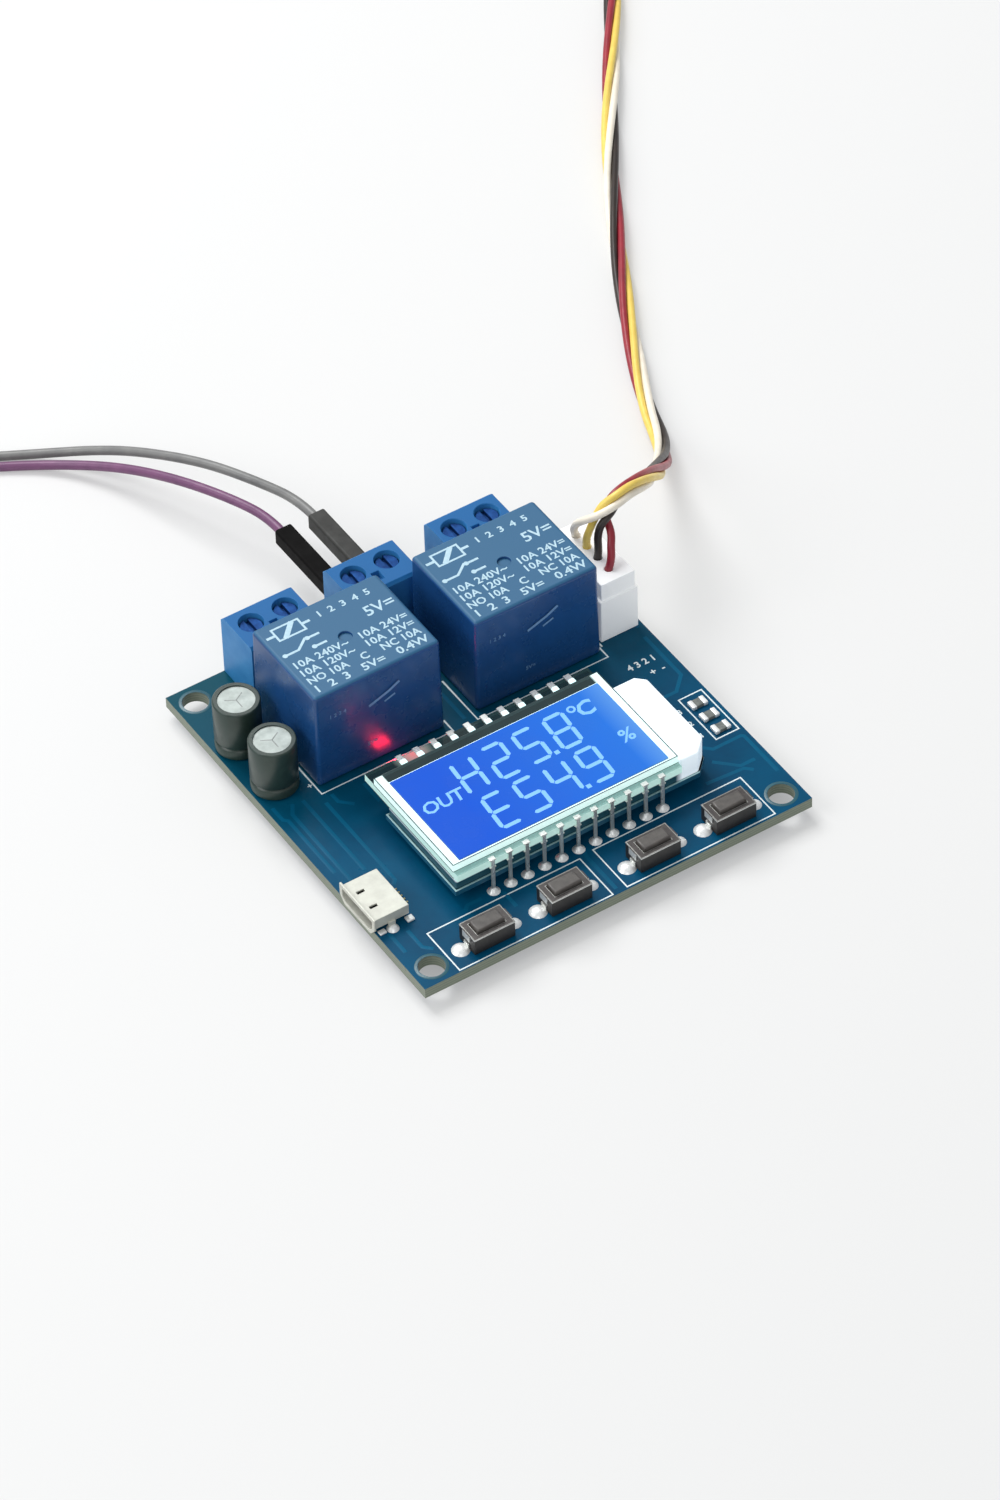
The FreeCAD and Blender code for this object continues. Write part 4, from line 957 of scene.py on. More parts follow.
def dress(finish: Finish, *nodes: str) -> None:
    """Gives CAD nodes a finish.

    Args:
        finish: the finish.
        nodes: their names.
    """
    for name in nodes:
        mesh = bpy.data.objects[name].data
        mesh.materials.clear()
        mesh.materials.append(finish.material())
        log.info("%s takes %s", name, finish.name)


# The view and the light


@dataclass
class Studio:
    """Camera, table and lamps."""

    target: tuple[float, float, float] = (30.221, 29.384, 0.0)
    azimuth: float = -31.806
    elevation: float = 45.377
    roll: float = -1.914
    distance: float = 875.6
    focal: float = 6894.8
    picture_height: float = 1500.0
    sensor: float = 36.0
    sky: tuple[int, int, int] = (244, 247, 250)
    sky_strength: float = 0.50
    lamps: tuple[tuple, ...] = (("key", (-0.02, 0.46, 0.62), 0.40, 4.6),
                                ("side", (-0.52, 0.10, 0.42), 0.35, 1.5),
                                ("fill", (-0.30, -0.50, 0.40), 0.35, 0.6))

    def camera(self) -> None:
        """Sets the camera at the photograph's viewing angle."""
        azimuth, elevation, roll = (math.radians(v) for v in (self.azimuth, self.elevation, self.roll))
        level = math.cos(elevation)
        back = Vector((math.sin(azimuth) * level, -math.cos(azimuth) * level, math.sin(elevation)))
        right = Vector((0, 0, 1)).cross(back).normalized()
        up = back.cross(right)
        across = right * math.cos(roll) + up * math.sin(roll)
        upright = up * math.cos(roll) - right * math.sin(roll)
        data = bpy.data.cameras.new("view")
        data.sensor_width = self.sensor
        data.lens = self.focal * data.sensor_width / self.picture_height
        data.clip_start, data.clip_end = 0.05, 20.0
        item = linked("view", data)
        turn = Matrix((across, upright, back)).transposed().to_4x4()
        item.matrix_world = Matrix.Translation(at(*self.target) + back * self.distance * MM) @ turn
        bpy.context.scene.camera = item

    def table(self) -> None:
        """Lays the pale table under the module."""
        mesh = bmesh.new()
        bmesh.ops.create_grid(mesh, x_segments=1, y_segments=1, size=3.0,
                              matrix=Matrix.Translation((0, 0, at(0, 0, TABLE_LEVEL).z)))
        data = bpy.data.meshes.new("table_top")
        mesh.to_mesh(data)
        mesh.free()
        data.materials.append(TABLE.material())
        item = linked("table_top", data)

    def lamp(self, name: str, place: Point, size: float, watts: float) -> None:
        """Hangs a square soft lamp that faces the module.

        Args:
            name: the lamp's name.
            place: where it hangs, in metres.
            size: its side, in metres.
            watts: its power.
        """
        data = bpy.data.lights.new(name, "AREA")
        data.size = size
        data.energy = watts
        item = linked(name, data)
        aim = Vector(place).to_track_quat("Z", "Y").to_matrix().to_4x4()
        item.matrix_world = Matrix.Translation(place) @ aim

    def build(self) -> None:
        """Makes the camera, table, lamps and even surroundings."""
        self.camera()
        self.table()
        for lamp in self.lamps:
            self.lamp(*lamp)
        world = bpy.data.worlds.new("studio")
        world.use_nodes = True
        background = world.node_tree.nodes["Background"]
        background.inputs["Color"].default_value = tone(*self.sky)
        background.inputs["Strength"].default_value = self.sky_strength
        bpy.context.scene.world = world
        bpy.context.scene.view_settings.view_transform = "Standard"


# Leads


@dataclass
class Lead:
    """A lead along a smooth route through bare points in mm of the part's frame."""

    name: str
    route: Sequence[Point]
    diameter: float
    length: float

    def curve(self, bevel: bool) -> bpy.types.Object:
        """The route as one open smooth curve.

        Args:
            bevel: whether the curve gets the lead's thickness.

        Returns:
            The curve object.
        """
        data = bpy.data.curves.new(self.name, "CURVE")
        data.dimensions = "3D"
        data.resolution_u = 12
        line = data.splines.new("NURBS")
        line.points.add(len(self.route) - 1)
        for spot, point in zip(line.points, self.route):
            spot.co = (*(value * MM for value in point), 1.0)
        line.order_u = 3
        line.use_endpoint_u = True
        if bevel:
            data.bevel_depth = self.diameter / 2 * MM
            data.bevel_resolution = 5
            data.use_fill_caps = True
        item = linked(self.name, data)
        return item

    def points(self) -> list[Vector]:
        """Reads the smooth curve's line.

        Returns:
            Its points in order, in metres.
        """
        item = self.curve(False)
        mesh = bpy.data.meshes.new_from_object(item)
        points = [v.co.copy() for v in mesh.vertices]
        bpy.data.meshes.remove(mesh)
        bpy.data.objects.remove(item)
        return points


@dataclass
class PlugInLead(Lead):
    """A single lead with a square housing at both ends."""

    number: int = 1
    finish: Finish = PURPLE
    shell: Finish = HOUSING_BLACK
    slots: tuple[str, str] = ("lead_purple", "black")

    def build(self) -> None:
        """Makes the lead and its two housings."""
        for place in ("housing", "end"):
            node = f"jumper_{self.number}_{place}"
            soften(f"{self.name}_{place}_shell", node, self.shell, 0.14, self.slots[1], 3)
        item = self.curve(True)
        item.data.materials.append(self.finish.material())
        settle(item, Body.MODULE.value, [f"jumper_{self.number}_lead"])


@dataclass
class SensorLead(Lead):
    """Four insulated wires that rise from the plug side by side, cross over and twist into one lead.

    A wire's place in the twist is a share of a turn from the line on which the wires leave the plug.
    """

    strand: float = 1.05
    pitch: float = 2.5
    turn_length: float = 60.0
    crossing: float = 0.38
    gather: tuple[float, float] = (0.3, 7.5)
    cross: tuple[float, float] = (2.5, 9.5)
    places: tuple[float, ...] = (0.5, 0.25, 0.75, 0.0)
    entry: float = 2.2
    sides: int = 10

    def frames(self) -> list[tuple[float, Vector, Vector, Vector]]:
        """Walks along the route with a frame that doesn't twist.

        Returns:
            For each point its distance in mm, its place, and two directions across the route.
        """
        points = self.points()
        across = Vector((0, 1, 0))
        walked, result = 0.0, []
        for number, point in enumerate(points):
            before, after = points[max(number - 1, 0)], points[min(number + 1, len(points) - 1)]
            ahead = (after - before).normalized()
            across = (across - ahead * across.dot(ahead)).normalized()
            if number:
                walked += (point - points[number - 1]).length / MM
            result.append((walked, point, across.copy(), ahead.cross(across)))
        return result

    @staticmethod
    def eased(walked: float, start: float, end: float) -> float:
        """A share that rises softly from 0 to 1 between two distances along the lead, in mm."""
        share = min(max((walked - start) / (end - start), 0.0), 1.0)
        return share * share * (3 - 2 * share)

    def path(self, number: int) -> list[Vector]:
        """The line of one wire.

        Args:
            number: 0 to 3, from the front.

        Returns:
            Its points in metres.
        """
        spread = (number - 1.5) * self.pitch
        twist = self.strand / math.sqrt(2)
        path = []
        for walked, point, across, other in self.frames():
            share = self.eased(walked, *self.gather)
            turn = math.tau * (walked / self.turn_length + self.crossing * self.eased(walked, *self.cross))
            angle = turn + math.tau * self.places[number]
            side = across * math.cos(turn) + other * math.sin(turn)
            wound = across * math.cos(angle) + other * math.sin(angle)
            path.append(point + (side * spread * (1 - share) + wound * twist * share) * MM)
        return [path[0] - Vector((0, 0, self.entry * MM)), *path]

    def tube(self, piece: Piece, path: Sequence[Vector]) -> None:
        """Extrudes a ring along a path.

        Args:
            piece: the piece that takes the tube.
            path: the line to follow.
        """
        mesh = piece.mesh
        across = Vector((0, 1, 0))
        ring: list[bmesh.types.BMEdge] = []
        for number, point in enumerate(path):
            ahead = (path[min(number + 1, len(path) - 1)] - path[max(number - 1, 0)]).normalized()
            across = (across - ahead * across.dot(ahead)).normalized()
            turn = Matrix((across, ahead.cross(across), ahead)).transposed().to_4x4()
            made = bmesh.ops.create_circle(mesh, segments=self.sides, radius=self.strand / 2 * MM,
                                           cap_ends=number in (0, len(path) - 1),
                                           matrix=Matrix.Translation(point) @ turn)["verts"]
            edges = list({e for v in made for e in v.link_edges})
            if ring:
                bmesh.ops.bridge_loops(mesh, edges=ring + edges)
            ring = edges

    def build(self) -> None:
        """Makes the four wires."""
        for number, (color, finish) in enumerate(WIRES.items()):
            piece, path = Piece(f"sensor_wire_{color}"), self.path(number)
            self.tube(piece, path)
            item = piece.done(finish, replaces=["sensor_lead"], slot="lead_bundle", smooth=60)


# The board


@dataclass
class Board:
    """Mask, traces, print, pads and solder of the circuit board."""

    print_width: float = 0.27
    trace_width: float = 0.55
    power_width: float = 2.4
    clip_width: float = 0.4
    key_width: float = 0.5
    pad_height: float = 0.03

    def traces(self) -> None:
        """Copper runs that show through the mask on the upper face."""
        runs = [
            [(1.4, 23.0), (1.4, 34.0), (0.9, 34.5), (0.9, 37.0)], [(2.4, 20.8), (2.4, 34.6), (3.4, 36.2)],
            [(4.8, 21.4), (4.8, 36.0)], [(6.4, 17.2), (7.0, 17.8), (7.0, 34.0)],
            [(3.6, 9.6), (3.6, 6.2), (4.6, 5.2)], [(1.4, 10.6), (1.4, 6.6)],
            [(9.9, 31.8), (8.4, 33.3), (8.4, 34.9)], [(12.8, 30.4), (12.8, 34.2)],
            [(51.2, 15.6), (52.6, 14.2), (56.9, 14.2), (57.2, 13.9), (57.2, 6.4)],
            [(51.2, 12.4), (53.8, 9.8), (56.0, 9.8)], [(48.4, 9.6), (53.9, 9.2), (54.8, 8.3)],
            [(52.0, 25.4), (54.6, 25.4), (56.8, 27.6), (56.8, 36.0)],
            [(28.9, 0.9), (28.9, 7.6), (29.1, 8.4)], [(14.2, 9.0), (12.0, 9.0), (11.4, 8.4)],
            [(17.0, 8.4), (17.0, 5.4)], [(29.6, 36.6), (29.6, 42.0), (28.6, 43.0), (28.6, 50.6)],
            [(56.9, 38.0), (57.3, 38.4), (57.3, 52.0), (54.6, 54.7)],
            [(52.2, 53.4), (54.2, 55.4), (54.2, 57.0)],
        ]
        piece = Piece("board_traces_top")
        for run in runs:
            piece.line([at(x, y) for x, y in run], self.trace_width)
        piece.done(TRACE, slot="board")

    def under_traces(self) -> None:
        """Wide copper runs on the underside, between relays and terminals, and thin ones to the pins."""
        piece = Piece("board_traces_bottom")
        runs = []
        for relay, terminal in ((RELAYS[1], TERMINALS["a"]), (RELAYS[2], TERMINALS["c"])):
            left, right = terminal - PITCH, terminal + PITCH
            runs.append((self.power_width, [(relay - 7.6, 44.4), (left, 50.2), (left, 55.8)]))
            runs.append((self.power_width, [(relay + 6.6, 50.4), (right, 53.6), (right, 55.8)]))
        for number, x in enumerate(CLIP_COLUMNS):
            step = number % 4
            runs.append((self.clip_width, [(x, 9.3), (x, 14.5 + step), (x + 2.6, 18.0 + step),
                                           (x + 2.6, 26.0), (x, 28.6), (x, 31.0)]))
        for number in range(4):
            x = 11.2 + 12.2 * number
            runs.append((self.key_width, [(x, 3.1), (x, 6.2), (x + 1.4, 7.6), (x + 1.4, 9.3)]))
        for width, run in runs:
            piece.line([at(x, y, -BOARD_SIZE[2]) for x, y in run], width)
        piece.done(TRACE, slot="board")

    def legend(self) -> None:
        """White outlines round the parts, with plain pin marks."""
        piece = Piece("board_print")
        boxes = [(5.3, 0.3, 28.0, 7.75), (30.2, 0.4, 52.6, 8.1), (53.9, 15.4, 57.4, 23.9)]
        for x0, y0, x1, y1 in boxes:
            piece.line([at(x0, y0), at(x1, y0), at(x1, y1), at(x0, y1)], self.print_width, closed=True)
        for run in ([(7.4, 42.0), (7.4, 35.6), (27.2, 35.6), (27.2, 37.9)],
                    [(30.9, 44.0), (30.9, 35.6), (50.9, 35.6), (50.9, 38.0)],
                    [(51.3, 37.6), (51.3, 51.2), (57.75, 51.2)]):
            piece.line([at(*point) for point in run], self.print_width)
        marks = [("4 3 2 1", 53.8, 32.2, 1.5), ("+  -", 54.8, 30.0, 1.5), ("+", 6.9, 52.4, 1.3),
                 ("+", 6.9, 37.6, 1.3), ("1", 52.8, 17.0, 1.2), ("2", 52.8, 19.5, 1.2),
                 ("3", 52.8, 22.0, 1.2)]
        for text, x, y, size in marks:
            piece.words(text, at(x, y), size, weight=0.03)
        piece.done(PRINT)

    def pads(self) -> None:
        """Rings round the four mounting holes, on both faces."""
        piece = Piece("board_pads")
        ring = [(1.78, 0), (1.78, self.pad_height), (2.15, self.pad_height), (2.2, 0), (1.78, 0)]
        for x, y in HOLES:
            for level in (0.0, -BOARD_SIZE[2] - self.pad_height):
                piece.turned(ring, at(x, y, level), 32)
        piece.done(RIM)

    def build(self, joints: Sequence[tuple[float, float]]) -> None:
        """Dresses the board, and solders every pin on its underside.

        Args:
            joints: where pins are soldered, in mm.
        """
        dress(MASK, "circuit_board")
        self.traces()
        self.under_traces()
        self.legend()
        self.pads()
        section = ((0.30, -0.80), (0.46, -0.76), (0.70, -0.56), (0.93, -0.30), (1.09, 0.0))
        solder("solder_under", section, [at(x, y, -BOARD_SIZE[2]) for x, y in joints])


# Components


@dataclass
class Relay:
    """One sealed relay with its printed top."""

    number: int
    left: float
    front: float = 44.4
    depth: float = 15.4
    top: float = 15.4
    row_width: float = 16.6

    def pins(self) -> list[tuple[float, float]]:
        """Where its five pins are."""
        sides = [(self.left + x, self.front + y) for x in (-5.6, 6.6) for y in (-6.0, 6.0)]
        return [(self.left - 7.6, self.front), *sides]

    def legend(self) -> None:
        """White marks on the top: the contact diagram, pin numbers and plain ratings."""
        piece = Piece(f"relay_{self.number}_print")
        x, y, z = self.left, self.front, self.top + 0.006
        coil = [(-7.3, 3.9), (-3.4, 3.9), (-3.4, 6.1), (-7.3, 6.1)]
        piece.line([at(x + a, y + b, z) for a, b in coil], 0.42, closed=True)
        for width, run in ((0.7, [(-6.4, 3.9), (-4.3, 6.1)]), (0.42, [(-8.6, 5.0), (-7.3, 5.0)]),
                           (0.42, [(-3.4, 5.0), (-2.2, 5.0)]),
                           (0.36, [(-8.2, 1.2), (-6.2, 1.2), (-4.4, 2.6)]),
                           (0.36, [(-4.2, 0.6), (-2.4, 0.6)]), (0.36, [(-4.2, 2.4), (-2.4, 2.4)])):
            piece.line([at(x + a, y + b, z) for a, b in run], width)
        dot = [(0.0, 0.0), (0.36, 0.0), (0.36, 0.02), (0.0, 0.02)]
        for a, b in ((-8.2, 1.2), (-4.2, 0.6), (-4.2, 2.4)):
            piece.turned(dot, at(x + a, y + b, z), 12)
        rows = [("1  2  3  4  5", 2.9, 5.2, 1.5, 7.6), ("5V=", 6.4, 2.1, 2.5, 4.2),
                ("10A 240V~   10A 24V=", 0.0, -1.1, 1.7, self.row_width),
                ("10A 120V~   10A 12V=", 0.0, -2.75, 1.7, self.row_width),
                ("NO 10A    C    NC 10A", 0.0, -4.4, 1.7, self.row_width),
                ("1  2  3   5V=   0.4W", 0.0, -6.1, 1.8, self.row_width)]
        for text, a, b, size, wide in rows:
            piece.words(text, at(x + a, y + b, z), size, weight=0.03, wide=wide)
        piece.done(RELAY_PRINT)

    def side_legend(self) -> None:
        """Faint marks on the front: a contact's symbol and a row of pin numbers."""
        front = at(self.left, self.front - self.depth / 2 - 0.004)
        upright = Matrix.Translation(front) @ Matrix.Rotation(math.pi / 2, 4, "X")
        places = ((-1.6, 10.1, 0), (-0.2, 10.6, 0), (1.4, 11.2, 0), (3.0, 12.1, 0))
        rise = [Vector(place) * MM for place in places]
        below = Vector((0.9, -0.9, 0)) * MM
        symbol = Piece(f"relay_{self.number}_side_print")
        symbol.line(rise, 0.42).line([point + below for point in rise[1:3]], 0.3)
        for text, a, b in (("1 2 3 4", -6.2, 11.3), ("5V=", -1.3, 3.6)):
            symbol.words(text, Vector((a, b, 0)) * MM, 0.9)
        bmesh.ops.transform(symbol.mesh, matrix=upright, verts=symbol.mesh.verts)
        symbol.done(SIDE_PRINT)

    def build(self) -> None:
        """Makes the case, its print and its base."""
        name = f"relay_{self.number}"
        soften(f"{name}_cover", f"{name}_case", RELAY, 0.12, "relay")
        self.legend()
        self.side_legend()
        dress(RELAY_BASE, f"{name}_base")


@dataclass
class Terminal:
    """A two-way screw terminal with a rising cage in each pole."""

    letter: str
    left: float
    pin_row: float = 55.5

    def pins(self) -> list[tuple[float, float]]:
        """Where its two pins are."""
        return [(self.left + side * PITCH, self.pin_row) for side in (-1, 1)]

    def build(self) -> None:
        """Makes the housing and screws, and dresses the cages."""
        name = f"terminal_{self.letter}"
        soften(f"{name}_case", f"{name}_housing", TERMINAL, 0.12, "terminal")
        for number in (1, 2):
            screw = f"screw_{self.letter}{number}"
            soften(screw, f"clamp_{screw}", STEEL, 0.10, "steel", corner=50.0, body=screw)
            dress(TIN, f"clamp_cage_{self.letter}{number}")


@dataclass
class Capacitor:
    """A sleeved can, scored across its top."""

    number: int
    front: float
    left: float = 3.4
    lift: float = 0.3
    top: float = 8.0
    inner: float = 2.97
    outer: float = 3.13
    lip: float = 2.45
    bead: float = 1.5
    lid: float = 7.72
    score: float = 1.5

    def pins(self) -> list[tuple[float, float]]:
        """Where its two leads are."""
        return [(self.left + side * 1.25, self.front) for side in (-1, 1)]

    def sleeve(self) -> list[tuple[float, float]]:
        """The sleeve's section, shrunk into the can's bead and over its rim.

        Returns:
            Its corners as radius and height.
        """
        bead = ((0.3, 0.0), (0.16, 0.1), (0.06, 0.22), (0.0, 0.3))
        hollow = [(-depth, -rise) for depth, rise in bead[::-1]]
        hollow += [(-depth, rise) for depth, rise in bead[1:]]
        outside = [(self.outer + depth, self.bead + rise) for depth, rise in hollow]
        inside = [(self.inner + depth, self.bead + rise) for depth, rise in hollow[::-1]]
        rim = self.lid + self.outer - self.inner
        return [(self.inner, 0.0), (self.outer - 0.04, 0.0), (self.outer, 0.04), *outside,
                (self.outer, self.lid - 0.06), (self.outer - 0.03, self.lid + 0.05), (self.inner, rim),
                (self.lip + 0.03, rim), (self.lip, rim - 0.03), (self.lip, self.lid), (self.inner, self.lid),
                *inside, (self.inner, 0.0)]

    def build(self) -> None:
        """Makes the can, its score and the sleeve."""
        name = f"capacitor_{self.number}"
        soften(f"{name}_body", f"{name}_can", CAN, 0.10, "aluminium", corner=60.0)
        Piece(f"{name}_wrap").turned(self.sleeve(), at(self.left, self.front, self.lift), 64).done(
            SLEEVE, replaces=[f"{name}_sleeve"], slot="sleeve")
        # The score is drawn as a darker strip, its groove's shade painted on.
        piece = Piece(f"{name}_score")
        middle = at(self.left, self.front, self.top)
        for turn in (30, 150, 270):
            tip = Vector((math.cos(math.radians(turn)), math.sin(math.radians(turn)), 0)) * self.score * MM
            piece.line([middle, middle + tip], 0.16, rise=0.01)
        piece.done(SCORE_AND_GROOVE_SHADE)


@dataclass
class PowerSocket:
    """The micro USB socket at the left edge."""

    front: float = 15.0
    contact_pitch: float = 0.65
    legs: float = 4.05

    def build(self) -> None:
        """Makes the shell, its insert, contacts and solder."""
        soften("socket_shell_formed", "usb_shell", SHELL, 0.07, "tin")
        dress(BLACK, "usb_tongue")
        contacts = Piece("socket_contacts")
        for number in range(5):
            y = self.front + (number - 2) * self.contact_pitch
            contacts.block((0.9, y - 0.15, 1.16), (3.9, y + 0.15, 1.24), 0.02)
            contacts.block((4.95, y - 0.13, 0.0), (6.3, y + 0.13, 0.14), 0.03)
        contacts.done(BRASS)
        joints = Piece("socket_solder")
        drop = [(0.0, 0.62), (0.35, 0.55), (0.62, 0.3), (0.85, 0.0), (0.0, 0.0)]
        for side in (-1, 1):
            joints.turned(drop, at(2.3, self.front + side * self.legs), 16)
            back, tip = self.front + side * 3.95, self.front + side * 4.0
            joints.block((4.3, back - 0.5, 0.0), (5.4, back + 0.5, 0.35), 0.12)
            joints.block((0.3, tip - 0.4, 0.0), (1.3, tip + 0.4, 0.3), 0.1)
        joints.done(SOLDER, slot="tin", smooth=60)


class Stroke(Enum):
    """The seven strokes of a digit: their ends on a cell one wide and two high."""

    TOP = ((0, 2), (1, 2))
    UPPER_LEFT = ((0, 1), (0, 2))
    UPPER_RIGHT = ((1, 1), (1, 2))
    MIDDLE = ((0, 1), (1, 1))
    LOWER_LEFT = ((0, 0), (0, 1))
    LOWER_RIGHT = ((1, 0), (1, 1))
    BOTTOM = ((0, 0), (1, 0))


LIT = {
    "H": (Stroke.UPPER_LEFT, Stroke.UPPER_RIGHT, Stroke.MIDDLE, Stroke.LOWER_LEFT, Stroke.LOWER_RIGHT),
    "E": (Stroke.TOP, Stroke.UPPER_LEFT, Stroke.MIDDLE, Stroke.LOWER_LEFT, Stroke.BOTTOM),
    "2": (Stroke.TOP, Stroke.UPPER_RIGHT, Stroke.MIDDLE, Stroke.LOWER_LEFT, Stroke.BOTTOM),
    "4": (Stroke.UPPER_LEFT, Stroke.UPPER_RIGHT, Stroke.MIDDLE, Stroke.LOWER_RIGHT),
    "5": (Stroke.TOP, Stroke.UPPER_LEFT, Stroke.MIDDLE, Stroke.LOWER_RIGHT, Stroke.BOTTOM),
    "8": tuple(Stroke),
    "9": tuple(stroke for stroke in Stroke if stroke is not Stroke.LOWER_LEFT),
}


@dataclass
class Display:
    """The lit display: light guide, two panes, film, digits and clip pins."""

    cell: tuple[float, float] = (2.75, 2.85)
    stroke: float = 0.58
    lean: float = 0.075
    level: float = 6.81
    rows: tuple[tuple[str, float], ...] = (("H258", 19.25), ("E549", 12.05))
    columns: tuple[float, ...] = (19.55, 24.2, 28.8, 33.45)
    taper: float = 0.62
    gap: float = 0.12
    dot: tuple[float, float] = (32.05, 32.7)
    guide_pins: tuple[float, float] = (47.6, 18.0)
    glint_gap: float = 0.16

    def pins(self) -> list[tuple[float, float]]:
        """Where its 22 clip pins and the light guide's two pins are."""
        guide = [(self.guide_pins[0], self.guide_pins[1] + side * PITCH) for side in (-1, 1)]
        return [(x, y) for x in CLIP_COLUMNS for y in CLIP_ROWS] + guide

    def spot(self, left: float, low: float, x: float, y: float) -> Vector:
        """A point of a leaning digit's cell on the film."""
        height = y * self.cell[1]
        return at(left + x * self.cell[0] + height * self.lean, low + height, self.level)

    def stroke_plate(self, piece: Piece, left: float, low: float, stroke: Stroke) -> None:
        """Adds one stroke with pointed ends.

        Args:
            piece: the piece that takes it.
            left: left edge of the cell, in mm.
            low: its foot.
            stroke: which stroke.
        """
        start, end = (self.spot(left, low, *point) for point in stroke.value)
        along = (end - start).normalized()
        across = Vector((-along.y, along.x, 0)) * self.stroke / 2 * MM
        inset, tip = (along * self.stroke * share * MM for share in (self.taper, self.gap))
        piece.plate([start + tip, start + inset - across, end - inset - across, end - tip,
                     end - inset + across, start + inset + across], 0.01 * MM)

    def digits(self) -> None:
        """Lights the numbers, their points, the units and the output's mark."""
        piece = Piece("display_digits")
        for text, low in self.rows:
            for left, letter in zip(self.columns, text):
                for stroke in LIT[letter]:
                    self.stroke_plate(piece, left, low, stroke)
            left, right = self.dot
            piece.block((left, low - 0.3, self.level), (right, low + 0.35, self.level + 0.01))
        for text, x, y, size, weight in (("OUT", 15.8, 20.0, 2.9, 0.05), ("C", 39.5, 23.7, 3.5, 0.09),
                                         ("%", 41.2, 16.8, 3.1, 0.05)):
            piece.words(text, at(x, y, self.level), size, slant=0.12, spacing=0.95, weight=weight)
        piece.turned([(0.32, 0.0), (0.62, 0.0), (0.62, 0.015), (0.32, 0.015), (0.32, 0.0)],
                     at(38.0, 24.6, self.level), 20)
        piece.done(DIGIT)

    def seals(self) -> None:
        """The dark seal between the panes, and the bright line of light beside the film."""
        low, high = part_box("display_front_glass")
        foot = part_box("display_rear_glass")[0].z
        self.frame("pane_seals", SEAL, low, high, ((0.0, low.z), (0.0, foot), (0.05, high.z)))
        self.frame("film_glint", GLINT, *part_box("display_film"), ((-self.glint_gap, high.z),))

    def frame(self, name: str, finish: Finish, low: Vector, high: Vector,
              lines: Sequence[tuple[float, float]]) -> None:
        """Lays thin lines round a rectangle.

        Args:
            name: the piece's name.
            finish: what it is finished in.
            low: the rectangle's lowest corner, in metres.
            high: its highest corner.
            lines: for each line how far inside it runs, in mm, and its level in metres.
        """
        piece = Piece(name)
        for inset, level in lines:
            left, front = low.x + inset * MM, low.y + inset * MM
            right, back = high.x - inset * MM, high.y - inset * MM
            corners = ((left, front), (right, front), (right, back), (left, back))
            piece.line([Vector((x, y, level)) for x, y in corners], 0.2, closed=True, rise=0.02)
        piece.done(finish)

    def clips(self) -> None:
        """Solder round the feet of the clip pins, and the drops that fix the back ones to the ledge, which
        glow with painted light.
        """
        section = ((0.0, 0.66), (0.24, 0.62), (0.42, 0.42), (0.62, 0.16), (0.87, 0.0))
        solder("clip_solder", section, [at(x, y) for x in CLIP_COLUMNS for y in CLIP_ROWS])
        # The drops' glow is painted light of the backlight.
        drops = Piece("clip_drops")
        for x in CLIP_COLUMNS:
            drops.block((x - 0.42, 29.2, 5.5), (x + 0.42, 30.05, 5.96), 0.16, 3)
        drops.done(GLINT)

    def build(self) -> None:
        """Dresses the display and adds its digits."""
        dress(GLASS, "display_front_glass")
        dress(LOWER_GLASS, "display_rear_glass")
        dress(FILM, "display_film")
        soften("light_guide_block", "light_guide", GUIDE, 0.2, "guide", 3)
        soften("reflector_tray", "display_tray", TRAY, 0.1, "white")
        soften("clip_pins", "display_pins", TIN, 0.05, "tin", 1)
        self.digits()
        self.seals()
        self.clips()


@dataclass
class Button:
    """One push button with its soldered legs."""

    number: int
    left: float
    front: float = 3.1
    cover: float = 2.55
    leg: float = 3.95

    def build(self) -> None:
        """Makes the base, the moving plunger, the cover's rims and the solder on its legs."""
        name = f"switch_{self.number}"
        soften(f"{name}_body", f"{name}_base", BLACK, 0.10, "black")
        soften(f"{name}_key", f"{name}_plunger", BUTTON, 0.05, corner=60.0, body=f"button_{self.number}")
        # Pale lines at the cover's edge and round the plunger's hole are painted highlights.
        rim_highlights = Piece(f"{name}_rims")
        for half, deep, width in ((2.92, 1.72, 0.16), (2.14, 1.14, 0.12)):
            corners = ((-half, -deep), (half, -deep), (half, deep), (-half, deep))
            rim_highlights.line([at(self.left + x, self.front + y, self.cover) for x, y in corners], width, closed=True)
        rim_highlights.done(COVER_HIGHLIGHT)
        piece = Piece(f"{name}_solder")
        section = ((0.0, 0.56), (0.3, 0.54), (0.62, 0.42), (0.86, 0.2), (1.0, 0.0))
        for offset, wide in ((-self.leg, 1.22), (self.leg, 0.95)):
            piece.turned([(radius * wide, height) for radius, height in section],
                         at(self.left + offset, self.front), 16)
        piece.done(SOLDER, slot="tin", smooth=70, outward=False)


@dataclass
class Connector:
    """The white header, plug and probe of the sensor's lead."""

    left: float = 54.5
    front: float = 44.4
    pitch: float = 2.5

    def pins(self) -> list[tuple[float, float]]:
        """Where the header's four pins are."""
        return [(self.left, self.front + (number - 1.5) * self.pitch) for number in range(4)]

    def build(self) -> None:
        """Makes the moulded shells and dresses the pins and the probe."""
        soften("sensor_header_shell", "sensor_header", NYLON_PAINTED_GLOW, 0.15, "white", 3)
        soften("sensor_plug_shell", "sensor_plug", NYLON_PAINTED_GLOW, 0.2, "white", 3)
        dress(PROBE, "sensor_probe")
        dress(TIN, "sensor_header_pins")


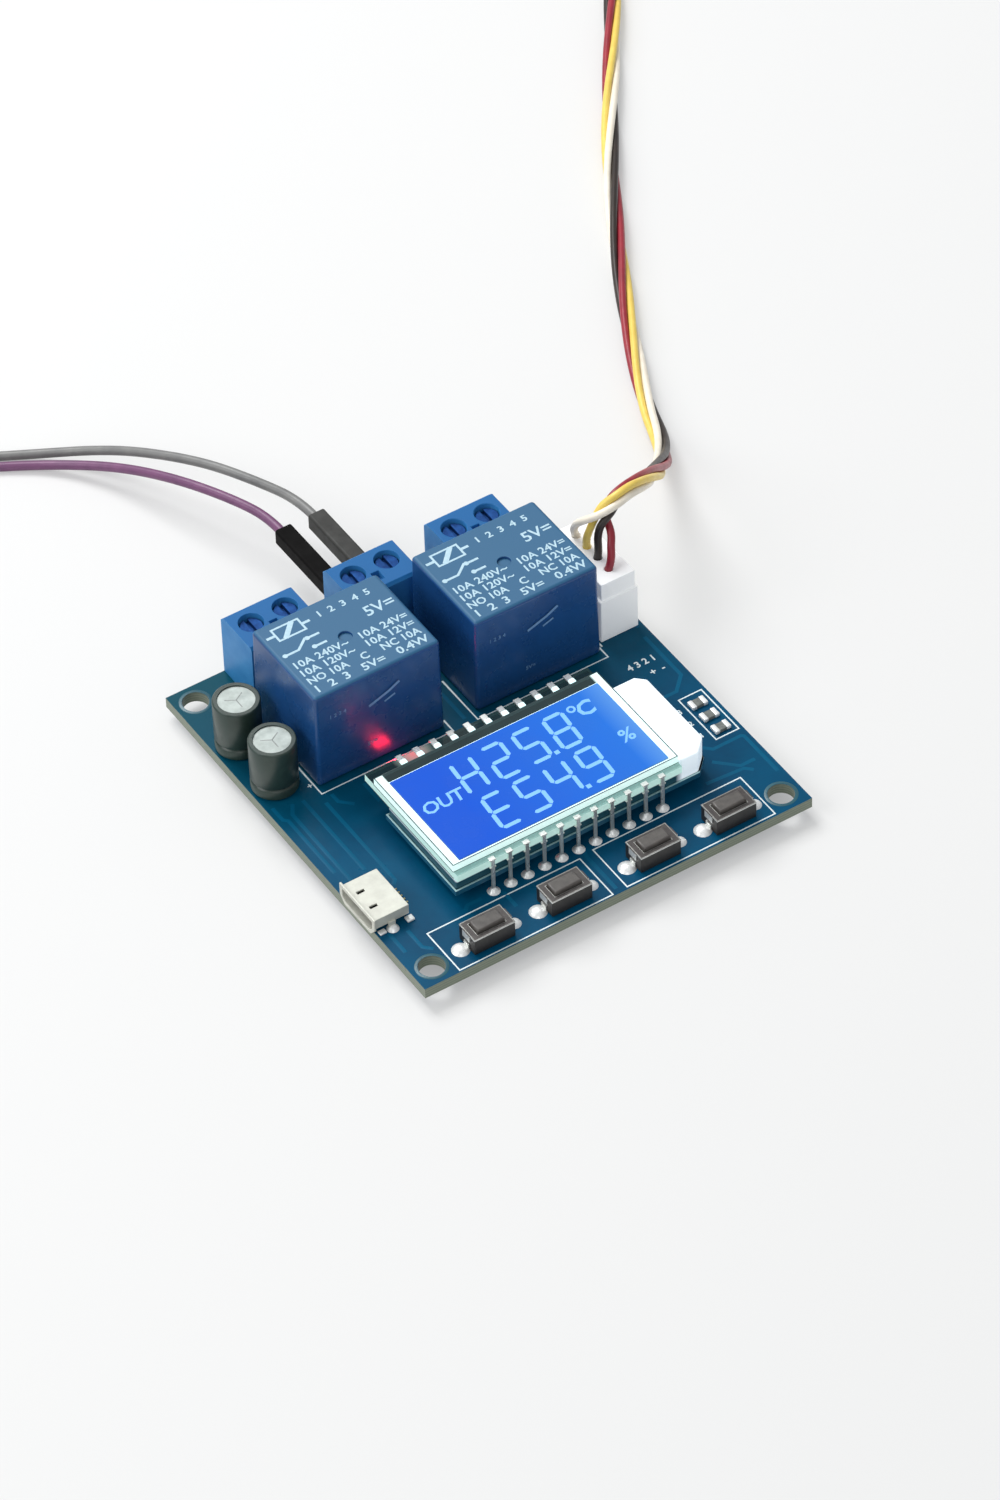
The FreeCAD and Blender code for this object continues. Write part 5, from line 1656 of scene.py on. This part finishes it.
@dataclass
class SmallParts:
    """Lamp, chip parts and the controller under the display."""

    rows: tuple[float, ...] = (16.7, 19.3, 21.9)
    ends: tuple[float, float] = (54.65, 56.35)
    end_size: tuple[float, float, float] = (0.34, 0.72, 0.56)

    def build(self) -> None:
        """Dresses the small parts and adds the ends of the chips."""
        soften("lamp_lens", "red_indicator", LAMP, 0.12, "red", 3)
        soften("chips", "chip_parts", CERAMIC, 0.05, "ceramic")
        dress(BLACK, "controller_chip")
        dress(TIN, "switch_legs", "jumper_pins", "relay_pins", "terminal_contacts", "capacitor_leads")
        dress(COVER, "switch_covers")
        ends = Piece("chip_ends")
        wide, deep, high = self.end_size
        for y in self.rows:
            for x in self.ends:
                ends.block((x - wide, y - deep, 0.0), (x + wide, y + deep, high), 0.12, 3)
        ends.done(SOLDER, slot="tin")


PURPLE_ROUTE = (
    (-2.24, 44.85, 5.165), (-2.24, 48.3, 5.165), (-3.9, 52.6, 5.5), (-6.8, 59.6, 4.9), (-9.6, 66.8, 3.1),
    (-12.7, 73.2, 1.0), (-17.4, 78.8, -0.6), (-23.3, 82.9, -0.95), (-30.0, 86.4, -0.95), (-37.6, 88.0, -0.95),
    (-45.6, 87.2, -0.95), (-53.2, 84.2, -0.95), (-59.6, 79.8, -0.9), (-64.8, 73.8, -0.33),
    (-68.4, 67.0, -0.33),
)
GREY_ROUTE = (
    (2.84, 44.85, 5.165), (2.84, 49.0, 5.165), (-0.2, 54.8, 5.8), (-4.0, 62.2, 5.6), (-8.7, 70.9, 3.3),
    (-12.4, 76.6, 1.1), (-16.6, 80.8, -0.4), (-22.6, 84.8, -0.95), (-30.0, 89.0, -0.95), (-37.6, 92.6, -0.95),
    (-45.6, 95.0, -0.95), (-54.2, 96.2, -0.9), (-62.3, 95.6, -0.33), (-70.2, 93.9, -0.33),
)
SENSOR_ROUTE = (
    (25.5, 13.65, 11.4), (25.5, 13.65, 14.6), (27.1, 13.5, 17.6), (30.3, 13.8, 19.1), (33.8, 15.4, 17.7),
    (37.9, 18.6, 14.3), (43.2, 24.6, 8.0), (47.9, 30.4, 3.0), (51.3, 36.2, 0.3), (53.5, 42.6, -0.27),
    (57.4, 51.2, -0.27), (65.2, 66.4, -0.27), (78.6, 89.6, -0.27), (95.4, 113.4, -0.27),
    (108.8, 134.0, -0.27), (116.4, 149.2, -0.2), (120.0, 162.0, 0.4), (121.2, 172.2, 0.4),
)


def main() -> None:
    """Builds the module piece by piece round its frame."""
    logging.basicConfig(level=logging.INFO, format="%(message)s")
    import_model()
    Studio().build()
    PlugInLead("purple_lead", PURPLE_ROUTE, 1.3, 0.1).build()
    PlugInLead("grey_lead", GREY_ROUTE, 1.3, 0.1, 2, GREY, HOUSING_GREY, ("lead_grey", "dark_grey")).build()
    SensorLead("sensor_wires", SENSOR_ROUTE, 2.65, 0.2).build()
    relays = [Relay(number, left) for number, left in RELAYS.items()]
    terminals = [Terminal(letter, left) for letter, left in TERMINALS.items()]
    capacitors = [Capacitor(number, front) for number, front in CAPACITORS.items()]
    display, connector = Display(), Connector()
    pinned = (*relays, *terminals, *capacitors, display, connector)
    Board().build([pin for part in pinned for pin in part.pins()])
    buttons = [Button(number, left) for number, left in BUTTONS.items()]
    for part in (*relays, *terminals, *capacitors, PowerSocket(), display, *buttons, connector, SmallParts()):
        part.build()


if __name__ == "__main__":
    main()
